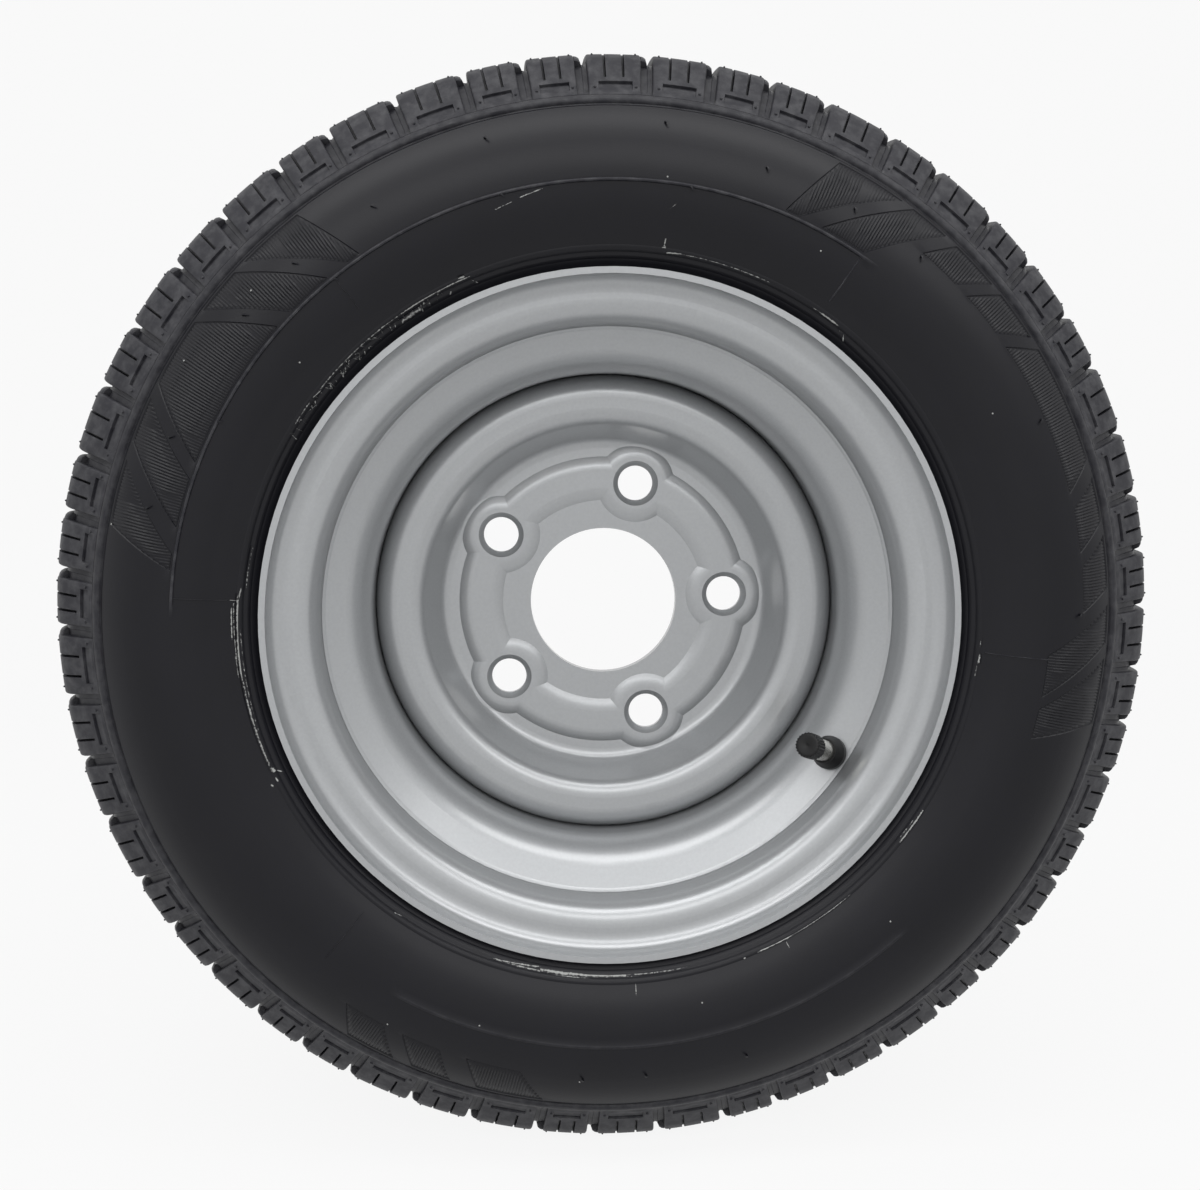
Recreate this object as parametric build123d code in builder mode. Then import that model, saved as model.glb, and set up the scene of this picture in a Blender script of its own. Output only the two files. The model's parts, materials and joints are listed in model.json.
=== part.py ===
from build123d import *

import os
from math import cos, radians, sin, sqrt, tan

# Trailer wheel with its tyre. The axle line is Y, the outboard face looks towards -Y and +Z is up.
# The origin is on the axle line, midway between the rim flanges. Sizes are millimetres and degrees.

# Tyre, 195/55 R10, outside shape
TYRE_RADIUS = 234.0  # over the middle of the tread
SECTION_WIDTH = 201.0  # over the sidewalls
WIDEST_DROP = 2.3  # from the middle of the section's height to where the sidewalls stand furthest apart
TREAD_HALF = 66.0  # half width of the flat of the tread
CROWN_DROP = 3.3  # from the middle of the tread to the edge of its flat
SHOULDER_RADIUS = 16.0
SHOULDER_TURN = 48.0  # degrees from the tread round to the buttress
BUTTRESS_HALF = 91.0  # half width at the foot of the shoulder blocks
BUTTRESS_DROP = 28.5  # from the middle of the tread to the foot of the shoulder blocks
RIM_RIB_HALF = 88.0  # half width where the sidewall ends above the rim lip
RIM_RIB_RADIUS = 147.5

# Tyre, inside
TREAD_THICKNESS = 15.0
SIDEWALL_THICKNESS = 9.0
LINER_HALF = 68.0  # half width of the inside of the tread
LINER_DROP = 7.0
BEAD_WIDTH = 17.0  # heel to toe
TOE_HEIGHT = 5.0
BEAD_HEIGHT = 24.0  # from the bead seat up to the thin sidewall
BEAD_THICKNESS = 12.0
BEAD_GAP = 0.15  # between the tyre and the rim

# Tread pattern
RIB_GROOVE_WIDTH = 9.0
RIB_GROOVE_DEPTH = 7.5
RIB_GROOVE_OFFSET = 33.0  # from the middle groove to each outer one
SIDE_GROOVE_WIDTH = 3.8
SIDE_GROOVE_DEPTH = 6.0
SIDE_GROOVE_FOOT = 2.2  # depth where it runs out on the buttress
SIDE_GROOVE_END_DROP = 23.0  # from the middle of the tread
SIDE_GROOVE_BEND = 12.0
BUTTRESS_RING_TOP_DROP = 23.3  # raised ring below the side grooves, from the middle of the tread
BUTTRESS_RING_FOOT_DROP = 26.5
BUTTRESS_RING_HEIGHT = 0.8
TREAD_START = 3.5  # first side groove, clockwise from the top
PITCH_SEQUENCE = "MSSLSLSMSLMSSMSSMSMMSL" "MMSLLSLMLSS" "MSSLMMLSSSLMLMLSLLSSM"
PITCH_SHARE = {"S": 0.895, "M": 1.0, "L": 1.10}

# Rim, 6 x 10, drop centre
RIM_WIDTH = 152.4  # between the flanges
RIM_SHEET = 2.6
BEAD_SEAT_RADIUS = 126.6
BEAD_SEAT_ANGLE = 5.0
BEAD_SEAT_END = 60.0  # from the mid plane to the edge of the well
FLANGE_HEIGHT = 17.8
FLANGE_CURL = 9.5
LIP_WIDTH = 13.0  # from the flange's tyre side to the edge of the lip
HEEL_RADIUS = 6.5
WELL_RADIUS = 105.9  # on the tyre side
WELL_HALF = 46.56
WELL_EDGE_RADIUS = 7.0
WELL_FOOT_RADIUS = 20.0

# Disc, pressed from one sheet
OFFSET = 5.0  # mounting face outboard of the mid plane
DISC_SHEET = 5.0
BORE_RADIUS = 33.5
BOLT_CIRCLE = 112.0
BOLT_COUNT = 5
BOLT_START = 15.2  # first bolt hole, clockwise from the top
BOLT_HOLE_RADIUS = 7.95
BALL_SEAT_RADIUS = 12.0
BALL_SEAT_MOUTH = 10.3
BOSS_RADIUS = 17.8  # raised round each bolt hole
RING_INNER_RADIUS = 46.3  # raised ring that the bosses stand in
RING_OUTER_RADIUS = 66.3
EMBOSS_HEIGHT = 1.4
EMBOSS_EDGE = 5.8  # how wide the rounded edge of the ring and the bosses is
EMBOSS_WEB = 2.0  # how far the hollow behind the ring stays inside its outline
DISH_FOOT_RADIUS = 73.5
DISH_HEIGHT = 21.0
DISH_TOP_RADIUS = 83.2
DISH_FOOT_FILLET = 5.5
DISH_TOP_FILLET = 8.0
DISC_SHOULDER_RADIUS = 10.0
DISC_SKIRT_END = 20.0  # inboard edge of the skirt
WELD_LEG = 4.5
WELD_COUNT = 8
WELD_ARC = 25.0
WELD_START = 10.0
PRESS_GAP = 0.05  # between the disc's skirt, the rim and the welds

# Valve, snap-in rubber type, standing square to the outboard slope of the well
VALVE_ANGLE = 122.6  # clockwise from the top
VALVE_SEAT_RADIUS = 117.29  # middle of the hole, on the tyre side of the slope
VALVE_HOLE_RADIUS = 5.75
RUBBER_GAP = 0.05
COLLAR_GAP = 0.25  # under the flat collar, because the slope is a cone
VALVE_FOOT_RADIUS = 7.6  # inside the tyre
VALVE_FOOT_GAP = 1.2  # because the slope bends into the well
VALVE_FOOT_HEIGHT = 4.5
COLLAR_RADIUS = 7.35
COLLAR_HEIGHT = 3.2
RUBBER_TOP_RADIUS = 5.5
RUBBER_TOP = 9.5
STEM_RADIUS = 4.6
STEM_FOOT = -3.5
STEM_SHOULDER = 23.4
THREAD_RADIUS = 3.85
STEM_TOP = 30.8
CORE_BORE_RADIUS = 2.7
CORE_SEAT_TOP = 22.0
CORE_SEAT_FOOT = 20.0
AIR_BORE_RADIUS = 1.9

# Valve core
CORE_GAP = 0.06
PLUG_TOP = 29.4
PLUG_FOOT = 26.0
PLUG_SLOT = 1.3
PLUG_SLOT_DEPTH = 1.6
PLUG_HOLE_RADIUS = 1.2
BARREL_FOOT = 15.5
BARREL_RADIUS = 1.7
BARREL_BORE_RADIUS = 1.2
BARREL_FLOOR = 0.8
GASKET_HEIGHT = 2.2
GASKET_SEAT_GAP = 0.08
PIN_RADIUS = 0.55
PIN_GUIDE_GAP = 0.06
PIN_TOP = 30.3
PIN_FOOT = 12.0
PIN_COLLAR_RADIUS = 1.05
PIN_COLLAR_FOOT = 22.6
PIN_COLLAR_HEIGHT = 0.6
CUP_RADIUS = 1.5
CUP_HEIGHT = 1.5
SPRING_WIRE = 0.3
SPRING_RADIUS = 0.85
SPRING_TURNS = 6

# Valve cap
CAP_RADIUS = 5.45
CAP_FOOT_GAP = 0.3  # between the cap's foot and the stem's shoulder
CAP_WALL_GAP = 0.1  # between the cap's bore and the stem's thread
CAP_TOP = 32.6
CAP_END_WALL = 1.2
CAP_EDGE = 0.8
CAP_PIP_RADIUS = 0.5
CAP_PIP_DEPTH = 0.3
CAP_SEAL_HEIGHT = 0.5
CAP_SEAL_GAP = 0.04

# Worked out from the sizes above
WIDEST_RADIUS = (BEAD_SEAT_RADIUS + TYRE_RADIUS) / 2 - WIDEST_DROP
BUTTRESS_RADIUS = TYRE_RADIUS - BUTTRESS_DROP
SIDE_GROOVE_END_RADIUS = TYRE_RADIUS - SIDE_GROOVE_END_DROP
BUTTRESS_RING_TOP = TYRE_RADIUS - BUTTRESS_RING_TOP_DROP
BUTTRESS_RING_FOOT = TYRE_RADIUS - BUTTRESS_RING_FOOT_DROP
RIM_HALF = RIM_WIDTH / 2
FLANGE_TOP = BEAD_SEAT_RADIUS + FLANGE_HEIGHT
WELL_INSIDE = WELL_RADIUS - RIM_SHEET
SKIRT_RADIUS = WELL_INSIDE - PRESS_GAP
DISC_FRONT = OFFSET + DISC_SHEET
BOSS_FRONT = DISC_FRONT + EMBOSS_HEIGHT
CREST = DISC_FRONT + DISH_HEIGHT
SEAT_SLOPE = tan(radians(BEAD_SEAT_ANGLE))


def bead_seat(half_width):
    return BEAD_SEAT_RADIUS - (RIM_HALF - half_width) * SEAT_SLOPE


def on_buttress(radius):
    top = buttress @ 0
    foot = buttress @ 1
    return top + (foot - top) * ((top.Y - radius) / (top.Y - foot.Y))


def groove_angles():
    shares = [PITCH_SHARE[size] for size in PITCH_SEQUENCE]
    turn = 360 / sum(shares)
    return [TREAD_START + turn * sum(shares[:k]) for k in range(len(shares))]


os.makedirs("parts", exist_ok=True)


# Tyre: one half of the section, mirrored, turned about the axle line, then cut by the side grooves
SEAT_GAP = BEAD_GAP / cos(radians(BEAD_SEAT_ANGLE))
TOE_HALF = RIM_HALF - BEAD_WIDTH
TOE_RADIUS = bead_seat(TOE_HALF) + SEAT_GAP
HEEL_HALF = RIM_HALF - BEAD_GAP
EDGE_RADIUS = TYRE_RADIUS - CROWN_DROP

with BuildPart() as tyre:
    with BuildSketch(Plane.YZ):
        with BuildLine():
            crown = TangentArc((0, TYRE_RADIUS), (TREAD_HALF, EDGE_RADIUS), tangent=(1, 0))
            shoulder = JernArc(crown @ 1, crown % 1, SHOULDER_RADIUS, -SHOULDER_TURN)
            buttress = Line(shoulder @ 1, (BUTTRESS_HALF, BUTTRESS_RADIUS))
            widest = (SECTION_WIDTH / 2, WIDEST_RADIUS)
            TangentArc(widest, buttress @ 1, tangent=(0, 1))
            side = TangentArc(widest, (RIM_RIB_HALF, RIM_RIB_RADIUS), tangent=(0, -1))
            bead = FilletPolyline(
                side @ 1,
                (RIM_HALF + FLANGE_CURL, FLANGE_TOP + BEAD_GAP),
                (HEEL_HALF, FLANGE_TOP + BEAD_GAP),
                (HEEL_HALF, bead_seat(HEEL_HALF) + SEAT_GAP),
                (TOE_HALF, TOE_RADIUS),
                (TOE_HALF, TOE_RADIUS + TOE_HEIGHT),
                radius=(0, FLANGE_CURL - BEAD_GAP, HEEL_RADIUS - BEAD_GAP, 0),
            )
            wall_foot = (RIM_HALF - BEAD_THICKNESS, BEAD_SEAT_RADIUS + BEAD_HEIGHT)
            Line(bead @ 1, wall_foot)
            inside = (SECTION_WIDTH / 2 - SIDEWALL_THICKNESS, WIDEST_RADIUS)
            liner_edge = (LINER_HALF, TYRE_RADIUS - TREAD_THICKNESS - LINER_DROP)
            TangentArc(inside, wall_foot, tangent=(0, -1))
            TangentArc(inside, liner_edge, tangent=(0, 1))
            liner = TangentArc((0, TYRE_RADIUS - TREAD_THICKNESS), liner_edge, tangent=(1, 0))
            Line(crown @ 0, liner @ 0)
        make_face()
        ring_top = on_buttress(BUTTRESS_RING_TOP)
        ring_foot = on_buttress(BUTTRESS_RING_FOOT)
        ring_middle = (ring_top + ring_foot) * 0.5
        with Locations(Location((ring_middle.X, ring_middle.Y, 0), (0, 0, buttress.tangent_angle_at(0)))):
            Rectangle((ring_foot - ring_top).length, 2 * BUTTRESS_RING_HEIGHT)
        with Locations((0, TYRE_RADIUS), (RIB_GROOVE_OFFSET, TYRE_RADIUS)):
            Rectangle(RIB_GROOVE_WIDTH, 2 * RIB_GROOVE_DEPTH, mode=Mode.SUBTRACT)
        mirror(about=Plane.YZ)
    revolve(axis=Axis.Y)

GROOVE_FLOOR = EDGE_RADIUS - SIDE_GROOVE_DEPTH
GROOVE_END = on_buttress(SIDE_GROOVE_END_RADIUS)
BUTTRESS_DIRECTION = buttress % 0
GROOVE_FOOT = GROOVE_END + Vector(BUTTRESS_DIRECTION.Y, -BUTTRESS_DIRECTION.X) * SIDE_GROOVE_FOOT
CLEAR = TYRE_RADIUS + SIDE_GROOVE_DEPTH

with BuildPart() as side_groove:
    with BuildSketch(Plane.YZ):
        with BuildLine():
            FilletPolyline(
                (RIB_GROOVE_OFFSET, CLEAR),
                (RIB_GROOVE_OFFSET, GROOVE_FLOOR),
                (TREAD_HALF, GROOVE_FLOOR),
                (GROOVE_FOOT.X, GROOVE_FOOT.Y),
                (GROOVE_END.X, GROOVE_END.Y),
                (GROOVE_END.X + SIDE_GROOVE_DEPTH, GROOVE_END.Y),
                (GROOVE_END.X + SIDE_GROOVE_DEPTH, CLEAR),
                radius=(0, SIDE_GROOVE_BEND, 0, 0, 0, 0, 0),
                close=True,
            )
        make_face()
    extrude(amount=SIDE_GROOVE_WIDTH / 2, both=True)

inboard_cut = side_groove.part
outboard_cut = mirror(inboard_cut, about=Plane.XZ)
pitch = 360 / len(PITCH_SEQUENCE)
with BuildPart() as grooved:
    add(tyre.part)
    with Locations(*[Location((0, 0, 0), (0, angle, 0)) for angle in groove_angles()]):
        add(outboard_cut, mode=Mode.SUBTRACT)
    with Locations(*[Location((0, 0, 0), (0, angle + pitch / 2, 0)) for angle in groove_angles()]):
        add(inboard_cut, mode=Mode.SUBTRACT)

grooved.part.label = "tyre"
export_step(grooved.part, "parts/tyre.step")


# Rim: one rolled sheet, drawn on its tyre side from lip to lip and thickened towards the axle
rim_half = [
    (RIM_HALF + LIP_WIDTH, FLANGE_TOP),
    (RIM_HALF, FLANGE_TOP),
    (RIM_HALF, BEAD_SEAT_RADIUS),
    (BEAD_SEAT_END, bead_seat(BEAD_SEAT_END)),
    (WELL_HALF, WELL_RADIUS),
]
rim_bends = [FLANGE_CURL, HEEL_RADIUS, WELL_EDGE_RADIUS, WELL_FOOT_RADIUS]
rim_line = [(-half, radius) for half, radius in rim_half] + rim_half[::-1]

# The valve stands on the well's outboard slope
slope_top = Vector(-BEAD_SEAT_END, bead_seat(BEAD_SEAT_END))
slope_foot = Vector(-WELL_HALF, WELL_RADIUS)
slope = (slope_foot - slope_top).normalized()
lean = Vector(slope.Y, -slope.X)
valve_drop = slope_top.Y - VALVE_SEAT_RADIUS
valve_seat = slope_top + slope * (valve_drop / -slope.Y) + lean * RIM_SHEET
spoke = Vector(sin(radians(VALVE_ANGLE)), 0, cos(radians(VALVE_ANGLE)))
axle = Vector(0, 1, 0)
valve_origin = axle * valve_seat.X + spoke * valve_seat.Y
valve_axis = axle * lean.X + spoke * lean.Y
valve_side = axle * -slope.X + spoke * -slope.Y
valve_face = Plane(origin=valve_origin, x_dir=valve_side, z_dir=valve_axis)
valve_section = Plane(origin=valve_origin, x_dir=valve_side, z_dir=valve_side.cross(valve_axis))
valve_line = Axis(valve_origin, valve_axis)

with BuildPart() as rim:
    with BuildSketch(Plane.YZ):
        with BuildLine():
            FilletPolyline(*rim_line, radius=rim_bends + rim_bends[::-1])
            offset(amount=RIM_SHEET, side=Side.RIGHT)
        make_face()
    revolve(axis=Axis.Y)
    with BuildSketch(valve_face):
        Circle(VALVE_HOLE_RADIUS)
    extrude(amount=2 * RIM_SHEET, both=True, mode=Mode.SUBTRACT)

rim.part.label = "rim"
export_step(rim.part, "parts/rim.step")


# Disc: one pressed sheet, with the ring and bosses raised to the front and hollow behind
first_bolt = 90 - BOLT_START
DISC_MIDDLE = OFFSET + DISC_SHEET / 2

with BuildPart() as bolt_boss:
    with BuildSketch(Plane.YZ):
        with BuildLine():
            flat = Line((-BOSS_FRONT, 0), (-BOSS_FRONT, BOSS_RADIUS - EMBOSS_EDGE))
            edge = TangentArc(flat @ 1, (-DISC_FRONT, BOSS_RADIUS), tangent=flat % 1)
            Polyline(edge @ 1, (-DISC_MIDDLE, BOSS_RADIUS), (-DISC_MIDDLE, 0), flat @ 0)
        make_face()
    revolve(axis=Axis.Y)

with BuildPart() as wheel_disc:
    with BuildSketch(Plane.YZ):
        with BuildLine():
            FilletPolyline(
                (-DISC_FRONT, BORE_RADIUS),
                (-DISC_FRONT, DISH_FOOT_RADIUS),
                (-CREST, DISH_TOP_RADIUS),
                (-CREST, SKIRT_RADIUS),
                (DISC_SKIRT_END, SKIRT_RADIUS),
                radius=(DISH_FOOT_FILLET, DISH_TOP_FILLET, DISC_SHOULDER_RADIUS),
            )
            offset(amount=DISC_SHEET, side=Side.RIGHT)
        make_face()
    revolve(axis=Axis.Y)
    with BuildSketch(Plane.YZ):
        with BuildLine():
            flat = Line(
                (-BOSS_FRONT, RING_INNER_RADIUS + EMBOSS_EDGE),
                (-BOSS_FRONT, RING_OUTER_RADIUS - EMBOSS_EDGE),
            )
            inner_edge = TangentArc(flat @ 0, (-DISC_FRONT, RING_INNER_RADIUS), tangent=flat % 0 * -1)
            outer_edge = TangentArc(flat @ 1, (-DISC_FRONT, RING_OUTER_RADIUS), tangent=flat % 1)
            Polyline(
                inner_edge @ 1,
                (-DISC_MIDDLE, RING_INNER_RADIUS),
                (-DISC_MIDDLE, RING_OUTER_RADIUS),
                outer_edge @ 1,
            )
        make_face()
    revolve(axis=Axis.Y)
    for k in range(BOLT_COUNT):
        turn = radians(BOLT_START + k * 360 / BOLT_COUNT)
        with Locations((BOLT_CIRCLE / 2 * sin(turn), 0, BOLT_CIRCLE / 2 * cos(turn))):
            add(bolt_boss.part)
    with BuildSketch(Plane.XZ.offset(OFFSET)):
        Circle(RING_OUTER_RADIUS - EMBOSS_WEB)
        Circle(RING_INNER_RADIUS + EMBOSS_WEB, mode=Mode.SUBTRACT)
        with PolarLocations(BOLT_CIRCLE / 2, BOLT_COUNT, start_angle=first_bolt):
            Circle(BOSS_RADIUS - EMBOSS_WEB)
    extrude(amount=EMBOSS_HEIGHT, mode=Mode.SUBTRACT)
    with BuildSketch(Plane.XZ):
        with PolarLocations(BOLT_CIRCLE / 2, BOLT_COUNT, start_angle=first_bolt):
            Circle(BOLT_HOLE_RADIUS)
    extrude(amount=2 * BOSS_FRONT, mode=Mode.SUBTRACT)
    seat_centre = BOSS_FRONT + sqrt(BALL_SEAT_RADIUS**2 - BALL_SEAT_MOUTH**2)
    with Locations(Plane.XZ.offset(seat_centre)):
        with PolarLocations(BOLT_CIRCLE / 2, BOLT_COUNT, start_angle=first_bolt):
            Sphere(BALL_SEAT_RADIUS, mode=Mode.SUBTRACT)

wheel_disc.part.label = "wheel_disc"
export_step(wheel_disc.part, "parts/wheel_disc.step")


# Welds: stretches of fillet weld between the skirt's inboard edge and the well
weld_radius = WELL_INSIDE - PRESS_GAP
weld_edge = DISC_SKIRT_END + PRESS_GAP

with BuildPart() as disc_welds:
    for k in range(WELD_COUNT):
        turn = WELD_START + k * 360 / WELD_COUNT
        with BuildSketch(Plane.YZ.rotated((0, turn, 0))):
            with BuildLine():
                Polyline(
                    (weld_edge, weld_radius),
                    (weld_edge, weld_radius - WELD_LEG),
                    (weld_edge + WELD_LEG, weld_radius),
                    close=True,
                )
            make_face()
        revolve(axis=Axis.Y, revolution_arc=WELD_ARC)

disc_welds.part.label = "disc_welds"
export_step(disc_welds.part, "parts/disc_welds.step")


# Valve body: moulded rubber, buttoned through the hole in the rim
NECK_RADIUS = VALVE_HOLE_RADIUS - RUBBER_GAP
FOOT_TOP = -RIM_SHEET - VALVE_FOOT_GAP
VALVE_FOOT = FOOT_TOP - VALVE_FOOT_HEIGHT
STEM_HOLE_RADIUS = STEM_RADIUS + RUBBER_GAP

with BuildPart() as valve_body:
    with BuildSketch(valve_section):
        with BuildLine():
            Polyline(
                (AIR_BORE_RADIUS, VALVE_FOOT),
                (VALVE_FOOT_RADIUS, VALVE_FOOT),
                (VALVE_FOOT_RADIUS, FOOT_TOP),
                (NECK_RADIUS, FOOT_TOP),
                (NECK_RADIUS, COLLAR_GAP),
                (COLLAR_RADIUS, COLLAR_GAP),
                (COLLAR_RADIUS, COLLAR_HEIGHT),
                (RUBBER_TOP_RADIUS, RUBBER_TOP),
                (STEM_HOLE_RADIUS, RUBBER_TOP),
                (STEM_HOLE_RADIUS, STEM_FOOT - RUBBER_GAP),
                (AIR_BORE_RADIUS, STEM_FOOT - RUBBER_GAP),
                close=True,
            )
        make_face()
    revolve(axis=valve_line)

valve_body.part.label = "valve_body"
export_step(valve_body.part, "parts/valve_body.step")


# Valve stem: turned brass, bored for the core
with BuildPart() as valve_stem:
    with BuildSketch(valve_section):
        with BuildLine():
            Polyline(
                (AIR_BORE_RADIUS, STEM_FOOT),
                (STEM_RADIUS, STEM_FOOT),
                (STEM_RADIUS, STEM_SHOULDER),
                (THREAD_RADIUS, STEM_SHOULDER),
                (THREAD_RADIUS, STEM_TOP),
                (CORE_BORE_RADIUS, STEM_TOP),
                (CORE_BORE_RADIUS, CORE_SEAT_TOP),
                (AIR_BORE_RADIUS, CORE_SEAT_FOOT),
                close=True,
            )
        make_face()
    revolve(axis=valve_line)

valve_stem.part.label = "valve_stem"
export_step(valve_stem.part, "parts/valve_stem.step")


# Core plug: screws into the stem and holds the barrel down, slotted for the key
with BuildPart() as core_plug:
    with BuildSketch(valve_face.offset(PLUG_FOOT)):
        Circle(CORE_BORE_RADIUS - CORE_GAP)
        Circle(PLUG_HOLE_RADIUS, mode=Mode.SUBTRACT)
    extrude(amount=PLUG_TOP - PLUG_FOOT)
    with BuildSketch(valve_face.offset(PLUG_TOP - PLUG_SLOT_DEPTH)):
        Rectangle(2 * CORE_BORE_RADIUS, PLUG_SLOT)
    extrude(amount=PLUG_SLOT_DEPTH, mode=Mode.SUBTRACT)

core_plug.part.label = "core_plug"
export_step(core_plug.part, "parts/core_plug.step")


# Core barrel: a tube with a floor that guides the pin
BARREL_TOP = PLUG_FOOT - CORE_GAP
PIN_HOLE_RADIUS = PIN_RADIUS + PIN_GUIDE_GAP

with BuildPart() as core_barrel:
    with BuildSketch(valve_section):
        with BuildLine():
            Polyline(
                (PIN_HOLE_RADIUS, BARREL_FOOT),
                (BARREL_RADIUS, BARREL_FOOT),
                (BARREL_RADIUS, BARREL_TOP),
                (BARREL_BORE_RADIUS, BARREL_TOP),
                (BARREL_BORE_RADIUS, BARREL_FOOT + BARREL_FLOOR),
                (PIN_HOLE_RADIUS, BARREL_FOOT + BARREL_FLOOR),
                close=True,
            )
        make_face()
    revolve(axis=valve_line)

core_barrel.part.label = "core_barrel"
export_step(core_barrel.part, "parts/core_barrel.step")


# Barrel gasket: a soft cone that seals the barrel in the stem's seat
CORE_SEAT_SLOPE = (CORE_BORE_RADIUS - AIR_BORE_RADIUS) / (CORE_SEAT_TOP - CORE_SEAT_FOOT)
GASKET_BORE_RADIUS = BARREL_RADIUS + CORE_GAP
GASKET_FOOT = CORE_SEAT_FOOT + GASKET_SEAT_GAP
GASKET_FOOT_RADIUS = AIR_BORE_RADIUS
GASKET_RIM_RADIUS = GASKET_FOOT_RADIUS + (CORE_SEAT_TOP - GASKET_FOOT) * CORE_SEAT_SLOPE
GASKET_TOP = GASKET_FOOT + GASKET_HEIGHT

with BuildPart() as barrel_gasket:
    with BuildSketch(valve_section):
        with BuildLine():
            Polyline(
                (GASKET_BORE_RADIUS, GASKET_FOOT),
                (GASKET_FOOT_RADIUS, GASKET_FOOT),
                (GASKET_RIM_RADIUS, CORE_SEAT_TOP),
                (GASKET_RIM_RADIUS, GASKET_TOP),
                (GASKET_BORE_RADIUS, GASKET_TOP),
                close=True,
            )
        make_face()
    revolve(axis=valve_line)

barrel_gasket.part.label = "barrel_gasket"
export_step(barrel_gasket.part, "parts/barrel_gasket.step")


# Core pin: pressed to let air through, with a collar for its spring
PIN_COLLAR_TOP = PIN_COLLAR_FOOT + PIN_COLLAR_HEIGHT

with BuildPart() as core_pin:
    with BuildSketch(valve_section):
        with BuildLine():
            Polyline(
                (0, PIN_FOOT),
                (PIN_RADIUS, PIN_FOOT),
                (PIN_RADIUS, PIN_COLLAR_FOOT),
                (PIN_COLLAR_RADIUS, PIN_COLLAR_FOOT),
                (PIN_COLLAR_RADIUS, PIN_COLLAR_TOP),
                (PIN_RADIUS, PIN_COLLAR_TOP),
                (PIN_RADIUS, PIN_TOP),
                (0, PIN_TOP),
                close=True,
            )
        make_face()
    revolve(axis=valve_line)

core_pin.part.label = "core_pin"
export_step(core_pin.part, "parts/core_pin.step")


# Core cup: the soft seal on the pin that closes the barrel's foot
CUP_TOP = BARREL_FOOT - CORE_GAP

with BuildPart() as core_cup:
    with BuildSketch(valve_face.offset(CUP_TOP - CUP_HEIGHT)):
        Circle(CUP_RADIUS)
        Circle(PIN_RADIUS + CORE_GAP, mode=Mode.SUBTRACT)
    extrude(amount=CUP_HEIGHT)

core_cup.part.label = "core_cup"
export_step(core_cup.part, "parts/core_cup.step")


# Core spring: stands on the barrel's floor and pushes the pin's collar outwards
SPRING_FOOT = BARREL_FOOT + BARREL_FLOOR + CORE_GAP + SPRING_WIRE / 2
SPRING_TOP = PIN_COLLAR_FOOT - CORE_GAP - SPRING_WIRE / 2
SPRING_HEIGHT = SPRING_TOP - SPRING_FOOT

with BuildPart() as core_spring:
    with BuildLine():
        coil = Helix(
            pitch=SPRING_HEIGHT / SPRING_TURNS,
            height=SPRING_HEIGHT,
            radius=SPRING_RADIUS,
            center=valve_origin + valve_axis * SPRING_FOOT,
            direction=valve_axis,
        )
    with BuildSketch(Plane(origin=coil @ 0, z_dir=coil % 0)):
        Circle(SPRING_WIRE / 2)
    sweep(is_frenet=True)

core_spring.part.label = "core_spring"
export_step(core_spring.part, "parts/core_spring.step")


# Valve cap: a moulded cup over the stem's thread
CAP_FOOT = STEM_SHOULDER + CAP_FOOT_GAP
CAP_BORE_RADIUS = THREAD_RADIUS + CAP_WALL_GAP
CAP_CEILING = CAP_TOP - CAP_END_WALL

with BuildPart() as valve_cap:
    with BuildSketch(valve_section):
        with BuildLine():
            Polyline(
                (CAP_BORE_RADIUS, CAP_FOOT),
                (CAP_RADIUS, CAP_FOOT),
                (CAP_RADIUS, CAP_TOP - CAP_EDGE),
                (CAP_RADIUS - CAP_EDGE, CAP_TOP),
                (CAP_PIP_RADIUS, CAP_TOP),
                (0, CAP_TOP - CAP_PIP_DEPTH),
                (0, CAP_CEILING),
                (CAP_BORE_RADIUS, CAP_CEILING),
                close=True,
            )
        make_face()
    revolve(axis=valve_line)

valve_cap.part.label = "valve_cap"
export_step(valve_cap.part, "parts/valve_cap.step")


# Cap seal: a flat ring under the cap's end wall, pressed on the stem's mouth
SEAL_TOP = CAP_CEILING - CAP_SEAL_GAP

with BuildPart() as cap_seal:
    with BuildSketch(valve_face.offset(SEAL_TOP - CAP_SEAL_HEIGHT)):
        Circle(CAP_BORE_RADIUS - CAP_SEAL_GAP)
        Circle(PLUG_HOLE_RADIUS, mode=Mode.SUBTRACT)
    extrude(amount=CAP_SEAL_HEIGHT)

cap_seal.part.label = "cap_seal"
export_step(cap_seal.part, "parts/cap_seal.step")
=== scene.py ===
import json
import math

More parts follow.
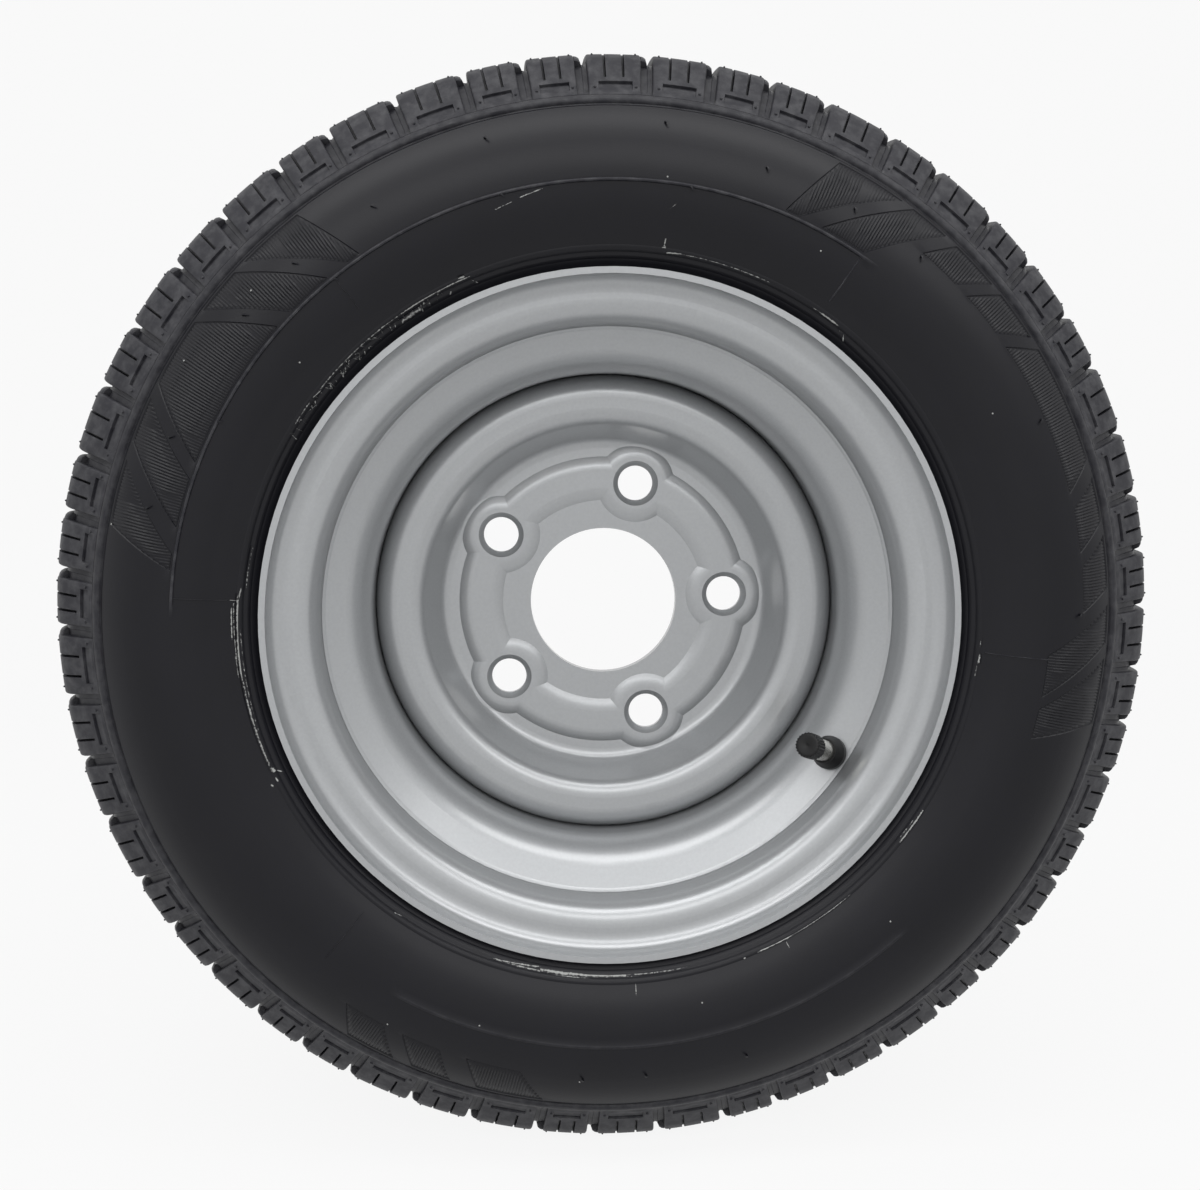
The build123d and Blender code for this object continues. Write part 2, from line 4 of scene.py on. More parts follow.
import bpy
import numpy as np
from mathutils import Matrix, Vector


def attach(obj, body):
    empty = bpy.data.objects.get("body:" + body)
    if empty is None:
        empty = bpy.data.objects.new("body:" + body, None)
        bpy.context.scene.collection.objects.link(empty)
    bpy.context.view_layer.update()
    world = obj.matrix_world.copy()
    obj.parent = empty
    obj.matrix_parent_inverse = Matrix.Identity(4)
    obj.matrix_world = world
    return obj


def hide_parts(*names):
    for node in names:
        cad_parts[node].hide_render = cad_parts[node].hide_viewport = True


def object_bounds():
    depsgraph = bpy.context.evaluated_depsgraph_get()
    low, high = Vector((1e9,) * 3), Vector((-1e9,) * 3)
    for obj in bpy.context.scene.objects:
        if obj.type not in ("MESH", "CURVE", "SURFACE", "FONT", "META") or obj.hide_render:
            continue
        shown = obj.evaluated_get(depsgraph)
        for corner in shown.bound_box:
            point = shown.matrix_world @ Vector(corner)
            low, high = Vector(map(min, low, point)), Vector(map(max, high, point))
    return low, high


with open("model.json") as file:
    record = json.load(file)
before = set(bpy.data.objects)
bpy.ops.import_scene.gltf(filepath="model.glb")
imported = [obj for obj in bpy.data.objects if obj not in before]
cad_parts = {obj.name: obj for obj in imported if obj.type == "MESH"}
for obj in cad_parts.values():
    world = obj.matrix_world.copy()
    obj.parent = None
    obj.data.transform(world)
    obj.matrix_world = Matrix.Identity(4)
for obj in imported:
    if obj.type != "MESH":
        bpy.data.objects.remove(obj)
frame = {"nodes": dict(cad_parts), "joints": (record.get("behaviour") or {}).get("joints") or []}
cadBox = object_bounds()
nodes = frame["nodes"]
mm = 0.001
print("frame loaded,", len(nodes), "nodes")


def linear(hexColour):  # sRGB hex to the linear values that a shader takes
    parts = [int(hexColour[i:i + 2], 16) / 255 for i in (1, 3, 5)]
    return tuple(c / 12.92 if c <= 0.04045 else ((c + 0.055) / 1.055) ** 2.4 for c in parts) + (1.0,)


def addNode(tree, kind, inputs=None, **settings):  # a node with its settings and links
    node = tree.nodes.new(kind)
    for name, value in settings.items():
        setattr(node, name, value)
    for name, value in (inputs or {}).items():
        if isinstance(value, bpy.types.NodeSocket):
            tree.links.new(value, node.inputs[name])
        else:
            node.inputs[name].default_value = value
    return node


def newMaterial(name):
    material = bpy.data.materials.new(name)
    material.use_nodes = True
    material.node_tree.nodes.clear()
    return material, material.node_tree


def closeMaterial(tree, shader):
    addNode(tree, "ShaderNodeOutputMaterial", {"Surface": shader.outputs[0]})


def meshPiece(name, points, faces, material, sharpDegrees=180):  # smooth, with sharp edges past the angle
    mesh = bpy.data.meshes.new(name)
    mesh.from_pydata(points, [], faces)
    mesh.polygons.foreach_set("use_smooth", [True] * len(mesh.polygons))
    mesh.set_sharp_from_angle(angle=math.radians(sharpDegrees))
    mesh.materials.append(material)
    piece = bpy.data.objects.new(name, mesh)
    bpy.context.scene.collection.objects.link(piece)
    return piece


# Tyre: black filled rubber, moulded in a steel mould. A satin skin with faint blotches, greyer and duller
# on the tread, and pale mould residue in thin flakes round the bead. Painted shade darkens grooves, sipes,
# slots and sunk panels with their depth, and a painted highlight lightens the raised sidewall ring and rib.
rubberLook = {
    "side": "#0d0d12", "sideLight": "#131319", "tread": "#26262b", "treadWorn": "#464649",
    "residue": "#a4a5a3", "grainMm": 0.6, "grainDepthMm": 0.05, "grainStrength": 0.5, "blotchMm": 24.0,
    "scuffMm": 5.0, "scuffFrom": 0.42, "scuffFull": 0.72,
    "flakeMm": 1.1, "flakeGain": 1.8, "flakeFrom": 1.2, "flakeFull": 1.55, "leastChalk": 0.04,
    "sideRough": 0.37, "treadRough": 0.52, "specular": 0.23, "ior": 1.52,
}


def tyreRubber(look):
    material, tree = newMaterial("moulded_tyre_rubber")
    place = addNode(tree, "ShaderNodeTexCoord").outputs["Object"]
    worn = addNode(tree, "ShaderNodeAttribute", attribute_name="worn").outputs["Fac"]
    chalky = addNode(tree, "ShaderNodeAttribute", attribute_name="chalky").outputs["Fac"]
    blotch = addNode(tree, "ShaderNodeTexNoise", {
        "Vector": place, "Scale": 1 / (look["blotchMm"] * mm), "Detail": 5.0})
    grain = addNode(tree, "ShaderNodeTexNoise", {
        "Vector": place, "Scale": 1 / (look["grainMm"] * mm), "Detail": 2.0})
    flake = addNode(tree, "ShaderNodeTexNoise", {
        "Vector": place, "Scale": 1 / (look["flakeMm"] * mm), "Detail": 4.0, "Roughness": 0.6})
    ragged = addNode(tree, "ShaderNodeMath", {
        0: flake.outputs["Fac"], 1: look["flakeGain"], 2: chalky}, operation="MULTIPLY_ADD")
    broken = addNode(tree, "ShaderNodeMapRange", {
        "Value": ragged.outputs["Value"], "From Min": look["flakeFrom"], "From Max": look["flakeFull"]},
        clamp=True)
    marked = addNode(tree, "ShaderNodeMath", {0: chalky, 1: look["leastChalk"]}, operation="GREATER_THAN")
    chalk = addNode(tree, "ShaderNodeMath", {
        0: broken.outputs["Result"], 1: marked.outputs["Value"]}, operation="MULTIPLY")
    skin = addNode(tree, "ShaderNodeMix", {
        "Factor": blotch.outputs["Fac"], "A": linear(look["side"]), "B": linear(look["sideLight"])},
        data_type="RGBA")
    scuff = addNode(tree, "ShaderNodeTexNoise", {
        "Vector": place, "Scale": 1 / (look["scuffMm"] * mm), "Detail": 6.0, "Roughness": 0.65})
    patches = addNode(tree, "ShaderNodeMapRange", {
        "Value": scuff.outputs["Fac"], "From Min": look["scuffFrom"], "From Max": look["scuffFull"]},
        clamp=True)
    ground = addNode(tree, "ShaderNodeMix", {
        "Factor": patches.outputs["Result"], "A": linear(look["tread"]), "B": linear(look["treadWorn"])},
        data_type="RGBA")
    # the tread colour here stands for wear on the tread faces and also for painted light: less of it in
    # grooves, sipes and panels is painted shade, more of it on the sidewall ring and rib is a painted
    # highlight
    scuffsAndPaintedLight = addNode(tree, "ShaderNodeMix", {
        "Factor": worn, "A": skin.outputs["Result"], "B": ground.outputs["Result"]}, data_type="RGBA")
    colour = addNode(tree, "ShaderNodeMix", {
        "Factor": chalk.outputs["Value"], "A": scuffsAndPaintedLight.outputs["Result"], "B": linear(look["residue"])},
        data_type="RGBA")
    rough = addNode(tree, "ShaderNodeMapRange", {
        "Value": worn, "To Min": look["sideRough"], "To Max": look["treadRough"]})
    bump = addNode(tree, "ShaderNodeBump", {
        "Height": grain.outputs["Fac"], "Strength": look["grainStrength"],
        "Distance": look["grainDepthMm"] * mm})
    shader = addNode(tree, "ShaderNodeBsdfPrincipled", {
        "Base Color": colour.outputs["Result"], "Roughness": rough.outputs["Result"], "IOR": look["ior"],
        "Specular IOR Level": look["specular"], "Normal": bump.outputs["Normal"]})
    closeMaterial(tree, shader)
    return material


def axleRadius(tree, place):  # mm from the axle line
    flat = addNode(tree, "ShaderNodeVectorMath", {
        0: place, 1: (1 / mm, 0.0, 1 / mm)}, operation="MULTIPLY")
    return addNode(tree, "ShaderNodeVectorMath", {
        0: flat.outputs["Vector"]}, operation="LENGTH").outputs["Value"]


def rolledOff(tree, value, reach):  # 1 at zero, squared on its way to 0 at the reach
    left = addNode(tree, "ShaderNodeMapRange", {
        "Value": value, "From Max": reach, "To Min": 1.0, "To Max": 0.0}, clamp=True)
    return addNode(tree, "ShaderNodeMath", {
        0: left.outputs["Result"], 1: 2.0}, operation="POWER").outputs["Value"]


# Pressed ring and bolt bosses of the disc, in mm and degrees: the paint rolls their edges harder than the
# packed ones
press = {
    "ring": (46.3, 66.3), "bossRadius": 17.8, "boltRadius": 56.0, "firstBolt": 15.2, "bolts": 5,
    "edge": 6.0, "relief": 1.4, "innerShare": 0.35,
}


def pressedHeight(tree, place):  # 0 on the flats, lower along the edges of the ring and the bosses
    radius = axleRadius(tree, place)
    parts = addNode(tree, "ShaderNodeSeparateXYZ", {"Vector": place})
    turn = addNode(tree, "ShaderNodeMath", {
        0: parts.outputs["X"], 1: parts.outputs["Z"]}, operation="ARCTAN2")
    past = addNode(tree, "ShaderNodeMath", {
        0: turn.outputs["Value"], 1: math.radians(press["firstBolt"])}, operation="SUBTRACT")
    half = math.pi / press["bolts"]
    nearest = addNode(tree, "ShaderNodeMath", {
        0: past.outputs["Value"], 1: half, 2: -half}, operation="WRAP").outputs["Value"]
    along = addNode(tree, "ShaderNodeMath", {0: nearest}, operation="COSINE")
    across = addNode(tree, "ShaderNodeMath", {0: nearest}, operation="SINE")
    out = addNode(tree, "ShaderNodeMath", {
        0: radius, 1: along.outputs["Value"], 2: -press["boltRadius"]}, operation="MULTIPLY_ADD")
    aside = addNode(tree, "ShaderNodeMath", {
        0: radius, 1: across.outputs["Value"]}, operation="MULTIPLY")
    fromBolt = addNode(tree, "ShaderNodeCombineXYZ", {
        "X": out.outputs["Value"], "Y": aside.outputs["Value"]})
    distance = addNode(tree, "ShaderNodeVectorMath", {
        0: fromBolt.outputs["Vector"]}, operation="LENGTH")
    inBoss = addNode(tree, "ShaderNodeMath", {
        0: press["bossRadius"], 1: distance.outputs["Value"]}, operation="SUBTRACT")
    pastInner = addNode(tree, "ShaderNodeMath", {0: radius, 1: press["ring"][0]}, operation="SUBTRACT")
    beforeOuter = addNode(tree, "ShaderNodeMath", {0: press["ring"][1], 1: radius}, operation="SUBTRACT")
    height = 0.0
    for edge, share in ((beforeOuter, 1.0), (pastInner, press["innerShare"])):
        inside = addNode(tree, "ShaderNodeMath", {
            0: inBoss.outputs["Value"], 1: edge.outputs["Value"]}, operation="MAXIMUM")
        roll = rolledOff(tree, inside.outputs["Value"], press["edge"])
        height = addNode(tree, "ShaderNodeMath", {
            0: roll, 1: -share, 2: height}, operation="MULTIPLY_ADD").outputs["Value"]
    return height


# Bend from the bead seat into the well, in mm and in degrees about the bend's own centre: the paint rolls it
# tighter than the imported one
wellBend = {
    "half": 63.87, "radius": 118.5, "bend": 4.4, "margin": 1.0, "middle": 120.06, "reach": 25.06,
    "depth": 0.45,
}


def wellBendHeight(tree, place):  # 0 beside the bend, lower towards its middle
    parts = addNode(tree, "ShaderNodeSeparateXYZ", {"Vector": place})
    half = addNode(tree, "ShaderNodeMath", {0: parts.outputs["Y"]}, operation="ABSOLUTE")
    aside = addNode(tree, "ShaderNodeMath", {
        0: half.outputs["Value"], 1: 1 / mm, 2: -wellBend["half"]}, operation="MULTIPLY_ADD")
    up = addNode(tree, "ShaderNodeMath", {
        0: axleRadius(tree, place), 1: wellBend["radius"]}, operation="SUBTRACT")
    turn = addNode(tree, "ShaderNodeMath", {
        0: up.outputs["Value"], 1: aside.outputs["Value"]}, operation="ARCTAN2")
    past = addNode(tree, "ShaderNodeMath", {
        0: turn.outputs["Value"], 1: math.radians(wellBend["middle"])}, operation="SUBTRACT")
    away = addNode(tree, "ShaderNodeMath", {0: past.outputs["Value"]}, operation="ABSOLUTE")
    roll = rolledOff(tree, away.outputs["Value"], math.radians(wellBend["reach"]))
    spoke = addNode(tree, "ShaderNodeCombineXYZ", {
        "X": aside.outputs["Value"], "Y": up.outputs["Value"]})
    distance = addNode(tree, "ShaderNodeVectorMath", {0: spoke.outputs["Vector"]}, operation="LENGTH")
    onBend = addNode(tree, "ShaderNodeMath", {
        0: distance.outputs["Value"], 1: wellBend["bend"] + wellBend["margin"]}, operation="LESS_THAN")
    low = addNode(tree, "ShaderNodeMath", {0: roll, 1: -1.0}, operation="MULTIPLY")
    return addNode(tree, "ShaderNodeMath", {
        0: low.outputs["Value"], 1: onBend.outputs["Value"]}, operation="MULTIPLY").outputs["Value"]


# Silver wheel paint: aluminium flake in a clear binder, sprayed on steel and baked. Soft metallic shade with
# a faint mist of grain under a thin glossy skin.
paintLook = {
    "silver": "#aaacae", "shade": "#9fa1a3", "mistMm": 1.2, "mistStrength": 0.3, "grainDepthMm": 0.008,
    "cloudMm": 40.0, "rough": (0.32, 0.38), "metallic": 0.5, "coat": 0.8, "coatRough": 0.18,
}


def wheelPaint(name, look, shape=None, depth=0.0):  # shape: a height that the bump adds, depth in mm
    material, tree = newMaterial(name)
    place = addNode(tree, "ShaderNodeTexCoord").outputs["Object"]
    mist = addNode(tree, "ShaderNodeTexNoise", {
        "Vector": place, "Scale": 1 / (look["mistMm"] * mm), "Detail": 3.0})
    cloud = addNode(tree, "ShaderNodeTexNoise", {
        "Vector": place, "Scale": 1 / (look["cloudMm"] * mm), "Detail": 3.0})
    colour = addNode(tree, "ShaderNodeMix", {
        "Factor": mist.outputs["Fac"], "A": linear(look["shade"]), "B": linear(look["silver"])},
        data_type="RGBA")
    rough = addNode(tree, "ShaderNodeMapRange", {
        "Value": cloud.outputs["Fac"], "To Min": look["rough"][0], "To Max": look["rough"][1]})
    bump = addNode(tree, "ShaderNodeBump", {
        "Height": mist.outputs["Fac"], "Strength": look["mistStrength"],
        "Distance": look["grainDepthMm"] * mm})
    if shape:
        bump = addNode(tree, "ShaderNodeBump", {
            "Height": shape(tree, place), "Strength": 1.0, "Distance": depth * mm,
            "Normal": bump.outputs["Normal"]})
    shader = addNode(tree, "ShaderNodeBsdfPrincipled", {
        "Base Color": colour.outputs["Result"], "Metallic": look["metallic"],
        "Roughness": rough.outputs["Result"], "Coat Weight": look["coat"],
        "Coat Roughness": look["coatRough"], "Normal": bump.outputs["Normal"]})
    closeMaterial(tree, shader)
    return material


# Valve: a rubber body moulded onto a turned and nickel-plated stem, with a brass core and a moulded cap.
# Rubber and plastic are dull and black, plating and brass bright, each with a little grain in its gloss.
valveLooks = {
    "moulded_valve_rubber": {
        "colour": "#0e0e0f", "light": "#141415", "metallic": 0.0, "rough": (0.39, 0.51), "grainMm": 0.5,
        "specular": 0.25},
    "nickel_plated_brass": {
        "colour": "#b9b8b2", "light": "#cfcdc6", "metallic": 1.0, "rough": (0.22, 0.34), "grainMm": 0.3,
        "specular": 0.5},
    "turned_brass": {
        "colour": "#a98443", "light": "#c09a55", "metallic": 1.0, "rough": (0.26, 0.38), "grainMm": 0.2,
        "specular": 0.5},
    "moulded_ptfe": {
        "colour": "#d8d8d2", "light": "#e4e4de", "metallic": 0.0, "rough": (0.44, 0.56), "grainMm": 0.3,
        "specular": 0.5},
    "drawn_spring_wire": {
        "colour": "#85868a", "light": "#9b9ca0", "metallic": 1.0, "rough": (0.24, 0.36), "grainMm": 0.2,
        "specular": 0.5},
    "moulded_black_polypropylene": {
        "colour": "#0b0b0c", "light": "#121213", "metallic": 0.0, "rough": (0.30, 0.42), "grainMm": 0.4,
        "specular": 0.25},
}


def valveMaterial(name):  # fine grain is drawn at the size given, about as small as the render can show
    look = valveLooks[name]
    material, tree = newMaterial(name)
    place = addNode(tree, "ShaderNodeTexCoord").outputs["Object"]
    grain = addNode(tree, "ShaderNodeTexNoise", {
        "Vector": place, "Scale": 1 / (look["grainMm"] * mm), "Detail": 3.0})
    colour = addNode(tree, "ShaderNodeMix", {
        "Factor": grain.outputs["Fac"], "A": linear(look["colour"]), "B": linear(look["light"])},
        data_type="RGBA")
    rough = addNode(tree, "ShaderNodeMapRange", {
        "Value": grain.outputs["Fac"], "To Min": look["rough"][0], "To Max": look["rough"][1]})
    shader = addNode(tree, "ShaderNodeBsdfPrincipled", {
        "Base Color": colour.outputs["Result"], "Metallic": look["metallic"],
        "Roughness": rough.outputs["Result"], "Specular IOR Level": look["specular"]})
    closeMaterial(tree, shader)
    return material


rubber = tyreRubber(rubberLook)
paint = wheelPaint("baked_silver_paint", paintLook)
discPaint = wheelPaint("baked_silver_paint_on_pressed_disc", paintLook, pressedHeight, press["relief"])
rimPaint = wheelPaint("baked_silver_paint_on_rolled_rim", paintLook, wellBendHeight, wellBend["depth"])
valveFinish = {name: valveMaterial(name) for name in valveLooks}
print("materials made")


# Tyre section and tread, in mm and degrees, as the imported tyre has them
tyre = {
    "crown": 234.0, "treadHalf": 66.0, "crownDrop": 3.3, "shoulderRound": 16.0, "shoulderTurn": 48.0,
    "buttress": (91.0, 205.5), "widest": (100.5, 178.0), "rimRib": (88.0, 147.5),
    "ribGroove": 9.0, "ribGrooveDepth": 7.5, "ribGrooveOffset": 33.0, "firstGroove": 3.5,
    "pitches": "MSSLSLSMSLMSSMSSMSMMSLMMSLLSLMLSSMSSLMMLSSSLMLMLSLLSSM",
    "shares": {"S": 0.895, "M": 1.0, "L": 1.10}, "plainStep": 2.0, "sharpEdges": 38,
}

crownRound = (tyre["treadHalf"] ** 2 + tyre["crownDrop"] ** 2) / (2 * tyre["crownDrop"])
shoulderStart = math.degrees(math.asin(tyre["treadHalf"] / crownRound))


# Each of these gives the half width, the radius and the outward direction at a place on the section
def crownAt(half):  # the flat of the tread, by half width
    rise = math.sqrt(crownRound ** 2 - half ** 2)
    return half, tyre["crown"] - crownRound + rise, half / crownRound, rise / crownRound


def shoulderAt(share):  # the rounded shoulder, by the share of its turn
    first = math.radians(shoulderStart)
    last = math.radians(shoulderStart + tyre["shoulderTurn"] * share)
    half, radius = crownAt(tyre["treadHalf"])[:2]
    return (half + tyre["shoulderRound"] * (math.sin(last) - math.sin(first)),
            radius + tyre["shoulderRound"] * (math.cos(last) - math.cos(first)),
            math.sin(last), math.cos(last))


def sideAt(radius):  # the buttress and sidewall, by radius
    top, foot = shoulderAt(1.0), tyre["buttress"]
    if radius >= foot[1]:
        share = (top[1] - radius) / (top[1] - foot[1])
        run = math.hypot(foot[0] - top[0], top[1] - foot[1])
        return (top[0] + (foot[0] - top[0]) * share, radius,
                (top[1] - foot[1]) / run, (foot[0] - top[0]) / run)
    wide = tyre["widest"]
    end = foot if radius >= wide[1] else tyre["rimRib"]
    drop, rise = wide[0] - end[0], abs(end[1] - wide[1])
    arc = (drop ** 2 + rise ** 2) / (2 * drop)
    across = math.sqrt(arc ** 2 - (radius - wide[1]) ** 2)
    return wide[0] - arc + across, radius, across / arc, (radius - wide[1]) / arc


class Skin:  # gathers points and faces of one moulding, with their wear and painted light, and their residue
    def __init__(self):
        self.points, self.faces, self.worn, self.chalky, self.count = [], [], [], [], 0

    def add(self, points, faces, worn=0.0, chalky=0.0):
        points = np.asarray(points, float).reshape(-1, 3)
        self.points.append(points)
        self.faces.append(np.asarray(faces, int) + self.count)
        self.worn.append(np.broadcast_to(np.ravel(worn), (len(points),)))
        self.chalky.append(np.broadcast_to(np.ravel(chalky), (len(points),)))
        self.count += len(points)


def gridFaces(rows, columns, closed, side):  # faces between rows of points, turned to look outwards
    across = columns if closed else columns - 1
    row, column = np.meshgrid(np.arange(rows - 1), np.arange(across), indexing="ij")
    after = (column + 1) % columns
    quads = np.stack([row * columns + column, (row + 1) * columns + column,
                      (row + 1) * columns + after, row * columns + after], -1).reshape(-1, 4)
    return quads if side < 0 else quads[:, ::-1]


def ringPoints(section, angles, lift, side):  # a section turned to the angles, lifted off its surface
    section = np.asarray(section, float)
    half = section[:, 0:1] + section[:, 2:3] * lift
    radius = section[:, 1:2] + section[:, 3:4] * lift
    half, radius, turn = np.broadcast_arrays(half, radius, np.radians(np.asarray(angles, float)))
    return np.stack([radius * np.sin(turn), side * half, radius * np.cos(turn)], -1) * mm


studSides = 6


def stud(skin, section, angle, side, profile, lean=0.0, worn=0.0, chalky=0.0):
    half, radius, across, up = section  # profile: height, radius and how far it leans, in mm
    turn = math.radians(angle)
    out = np.array([up * math.sin(turn), side * across, up * math.cos(turn)])
    along = np.array([math.cos(turn), 0.0, -math.sin(turn)])
    other = np.cross(out, along)
    base = np.array([radius * math.sin(turn), side * half, radius * math.cos(turn)])
    towards = along * math.cos(math.radians(lean)) + other * math.sin(math.radians(lean))
    around = np.radians(np.arange(0, 360, 360 / studSides))
    ring = np.outer(np.cos(around), along) + np.outer(np.sin(around), other)
    points = [base + out * height + towards * drift + ring * size for height, size, drift in profile]
    skin.add(np.array(points) * mm, gridFaces(len(profile), studSides, True, 1), worn, chalky)


def grooveAngles():
    shares = [tyre["shares"][size] for size in tyre["pitches"]]
    return tyre["firstGroove"] + 360 / sum(shares) * np.concatenate([[0], np.cumsum(shares)])


# Shoulder blocks: cross grooves with a low tab in each, two sipes and a stepped panel to a block.
# Pairs are mm along the shoulder, at the measuring radius, and mm cut away; spans are shares of a block.
block = {
    "measuredAt": 222.0, "grooveHalf": 2.4, "tab": ((0.15, 0.45), (1.2, 0.7), (2.1, 1.3), (2.65, 2.8)),
    "floor": ((2.85, 0.9), (3.8, 1.0), (4.68, 0.9)), "edge": ((0.0, 0.7), (0.35, 0.2), (0.9, 0.0)),
    "sipes": (0.32, 0.665), "sipeHalf": 0.42, "wall": 0.12, "panel": (0.2, 0.83),
    # pips and hairs take the given share of the lighter tread colour
    "pips": (0.115, 0.905), "pipRadius": 214.3, "pipTone": 1.0,
    "pip": ((-0.1, 0.62, 0), (0.45, 0.5, 0), (0.75, 0.02, 0)),
    "hairShare": 0.3, "hairTone": 0.8, "hair": ((-0.1, 0.45, 0), (0.4, 0.35, 0), (0.6, 0.02, 0)),
    # painted shade: for each mm that a cut goes in, the tread colour is painted darker by this share, to no
    # less than the last value
    "wornLossPerMm": 0.16, "recessShadeFloor": 0.2,
}
# Down the shoulder: place, then groove depth, share of the tab, sipe depth, panel depth and edge rounding
crownRows = [
    (37.5, 4.2, 0, 0, 0, 0.5), (38.1, 4.2, 0, 0, 0, 0.5), (53.8, 4.2, 0, 0, 0, 0.5),
    (54.4, 4.2, 0, 2.5, 0, 0.5), (60.8, 4.2, 0, 2.5, 0, 0.7), (61.4, 4.2, 1, 2.2, 0, 0.7),
    (64.0, 4.2, 1, 0.5, 0, 0.8), (66.0, 4.2, 1, 0.4, 0, 1),
]
shoulderRows = [
    (0.10, 4.2, 1, 0.4, 0, 1), (0.20, 4.2, 1, 0.5, 0, 1), (0.30, 4.1, 1, 0.9, 0, 1),
    (0.40, 4.0, 1, 1.6, 0, 1), (0.50, 3.9, 1, 2.4, 0, 1), (0.58, 3.8, 1, 3.0, 0, 1),
    (0.62, 3.7, 0.85, 3.0, 0, 1), (0.66, 3.6, 0, 3.0, 0, 1), (0.83, 3.2, 0, 3.0, 0, 1),
    (1.0, 2.7, 0, 3.0, 0, 1),
]
buttressRows = [
    (222.0, 2.5, 0, 3.0, 0, 1), (219.0, 2.2, 0, 3.0, 0, 0.9), (218.7, 2.2, 0, 0, 0, 0.9),
    (216.9, 2.0, 0, 0, 0, 0.85), (216.7, 2.0, 0, 0, 1.1, 0.85), (215.9, 1.9, 0, 0, 1.1, 0.8),
    (215.6, 1.9, 0, 0, 0.5, 0.8), (213.6, 1.6, 0, 0, 0.45, 0.7), (212.9, 1.4, 0, 0, 0, 0.6),
    (212.2, 1.0, 0, 0, 0, 0.5), (211.5, 0.5, 0, 0, 0, 0.3), (211.0, 0, 0, 0, 0, 0),
]


def blockColumns(starts):  # angle, then the groove, tab, rounding, sipe and panel in each column
    toDegrees = 180 / math.pi / block["measuredAt"]
    groove, wall, sipe = (block[name] * toDegrees for name in ("grooveHalf", "wall", "sipeHalf"))
    columns = []
    for start, end in zip(starts[:-1], starts[1:]):
        first, last = start + groove, end - groove
        span = last - first
        panel = [first + span * share for share in block["panel"]]
        for offset, cut in block["floor"]:
            columns.append((start - groove + offset * toDegrees, cut, -1, 0, 0, 0))
        for offset, cut in block["edge"]:
            columns.append((first + offset * toDegrees, 0, -1, cut, 0, 0))
        columns += [(panel[0] - wall * 2, 0, -1, 0, 0, 0), (panel[0], 0, -1, 0, 0, 1)]
        for k, share in enumerate(block["sipes"]):
            middle = first + share * span
            columns += [(middle - sipe - wall, 0, -1, 0, 0, 1), (middle - sipe, 0, -1, 0, 1, 1),
                        (middle + sipe, 0, -1, 0, 1, 1), (middle + sipe + wall, 0, -1, 0, 0, 1)]
            if k == 0:
                columns.append((first + span / 2, 0, -1, 0, 0, 1))
        columns += [(panel[1], 0, -1, 0, 0, 1), (panel[1] + wall * 2, 0, -1, 0, 0, 0)]
        for offset, cut in block["edge"][::-1]:
            columns.append((last - offset * toDegrees, 0, -1, cut, 0, 0))
        for offset, drop in block["tab"]:
            columns.append((last + offset * toDegrees, 1, drop, 0, 0, 0))
    return np.array(columns).T


def shoulderBlocks(skin, side, shift):
    starts = grooveAngles() + shift
    angles, cut, tab, edge, sipe, panel = blockColumns(starts)  # a tab of -1 is none
    rows = [(crownAt(row[0]),) + row[1:] for row in crownRows]
    rows += [(shoulderAt(row[0]),) + row[1:] for row in shoulderRows]
    rows += [(sideAt(row[0]),) + row[1:] for row in buttressRows]
    section = [row[0] for row in rows]
    grooveDepth, tabShare, sipeDepth, panelDepth, edgeShare = np.array([row[1:] for row in rows]).T
    inGroove = np.outer(grooveDepth, cut)
    inTab = np.outer(tabShare, np.maximum(tab, 0)) + (1 - tabShare)[:, None] * inGroove
    deep = np.maximum.reduce([
        np.where(tab >= 0, inTab, inGroove), np.outer(edgeShare, edge),
        np.outer(sipeDepth, sipe), np.outer(panelDepth, panel)])
    # painted shade: each groove, tab, sipe, rounded edge and panel is painted darker with its depth
    worn = np.clip(1.0 - deep * block["wornLossPerMm"], block["recessShadeFloor"], 1)
    section.insert(0, section[0])  # wall down into the circumferential groove
    deep = np.vstack([np.full((1, deep.shape[1]), tyre["ribGrooveDepth"]), deep])
    # the wall into the circumferential groove takes the darkest painted shade
    worn = np.vstack([np.zeros((1, worn.shape[1])), worn])
    points = ringPoints(section, angles, -deep, side)
    skin.add(points, gridFaces(len(section), len(angles), True, side), worn)
    groove = block["grooveHalf"] * 180 / math.pi / block["measuredAt"]
    for start, end in zip(starts[:-1], starts[1:]):
        for share in block["pips"]:
            angle = start + groove + share * (end - start - 2 * groove)
            stud(skin, sideAt(block["pipRadius"]), angle, side, block["pip"], worn=block["pipTone"])
            stud(skin, shoulderAt(block["hairShare"]), angle, side, block["hair"], worn=block["hairTone"])


# Ribs between the circumferential grooves, with a slot from the outer groove at each pitch, in mm
ribs = {
    "slotHalf": 0.7, "slotDepth": 4.5, "slotEnd": (16.0, 16.3), "middle": 10.0, "edge": 0.5,
    # painted shade: slots and groove walls are painted darker by this share for each mm of depth
    "between": (0.35, 0.65), "wornLossPerMm": 0.25,
}


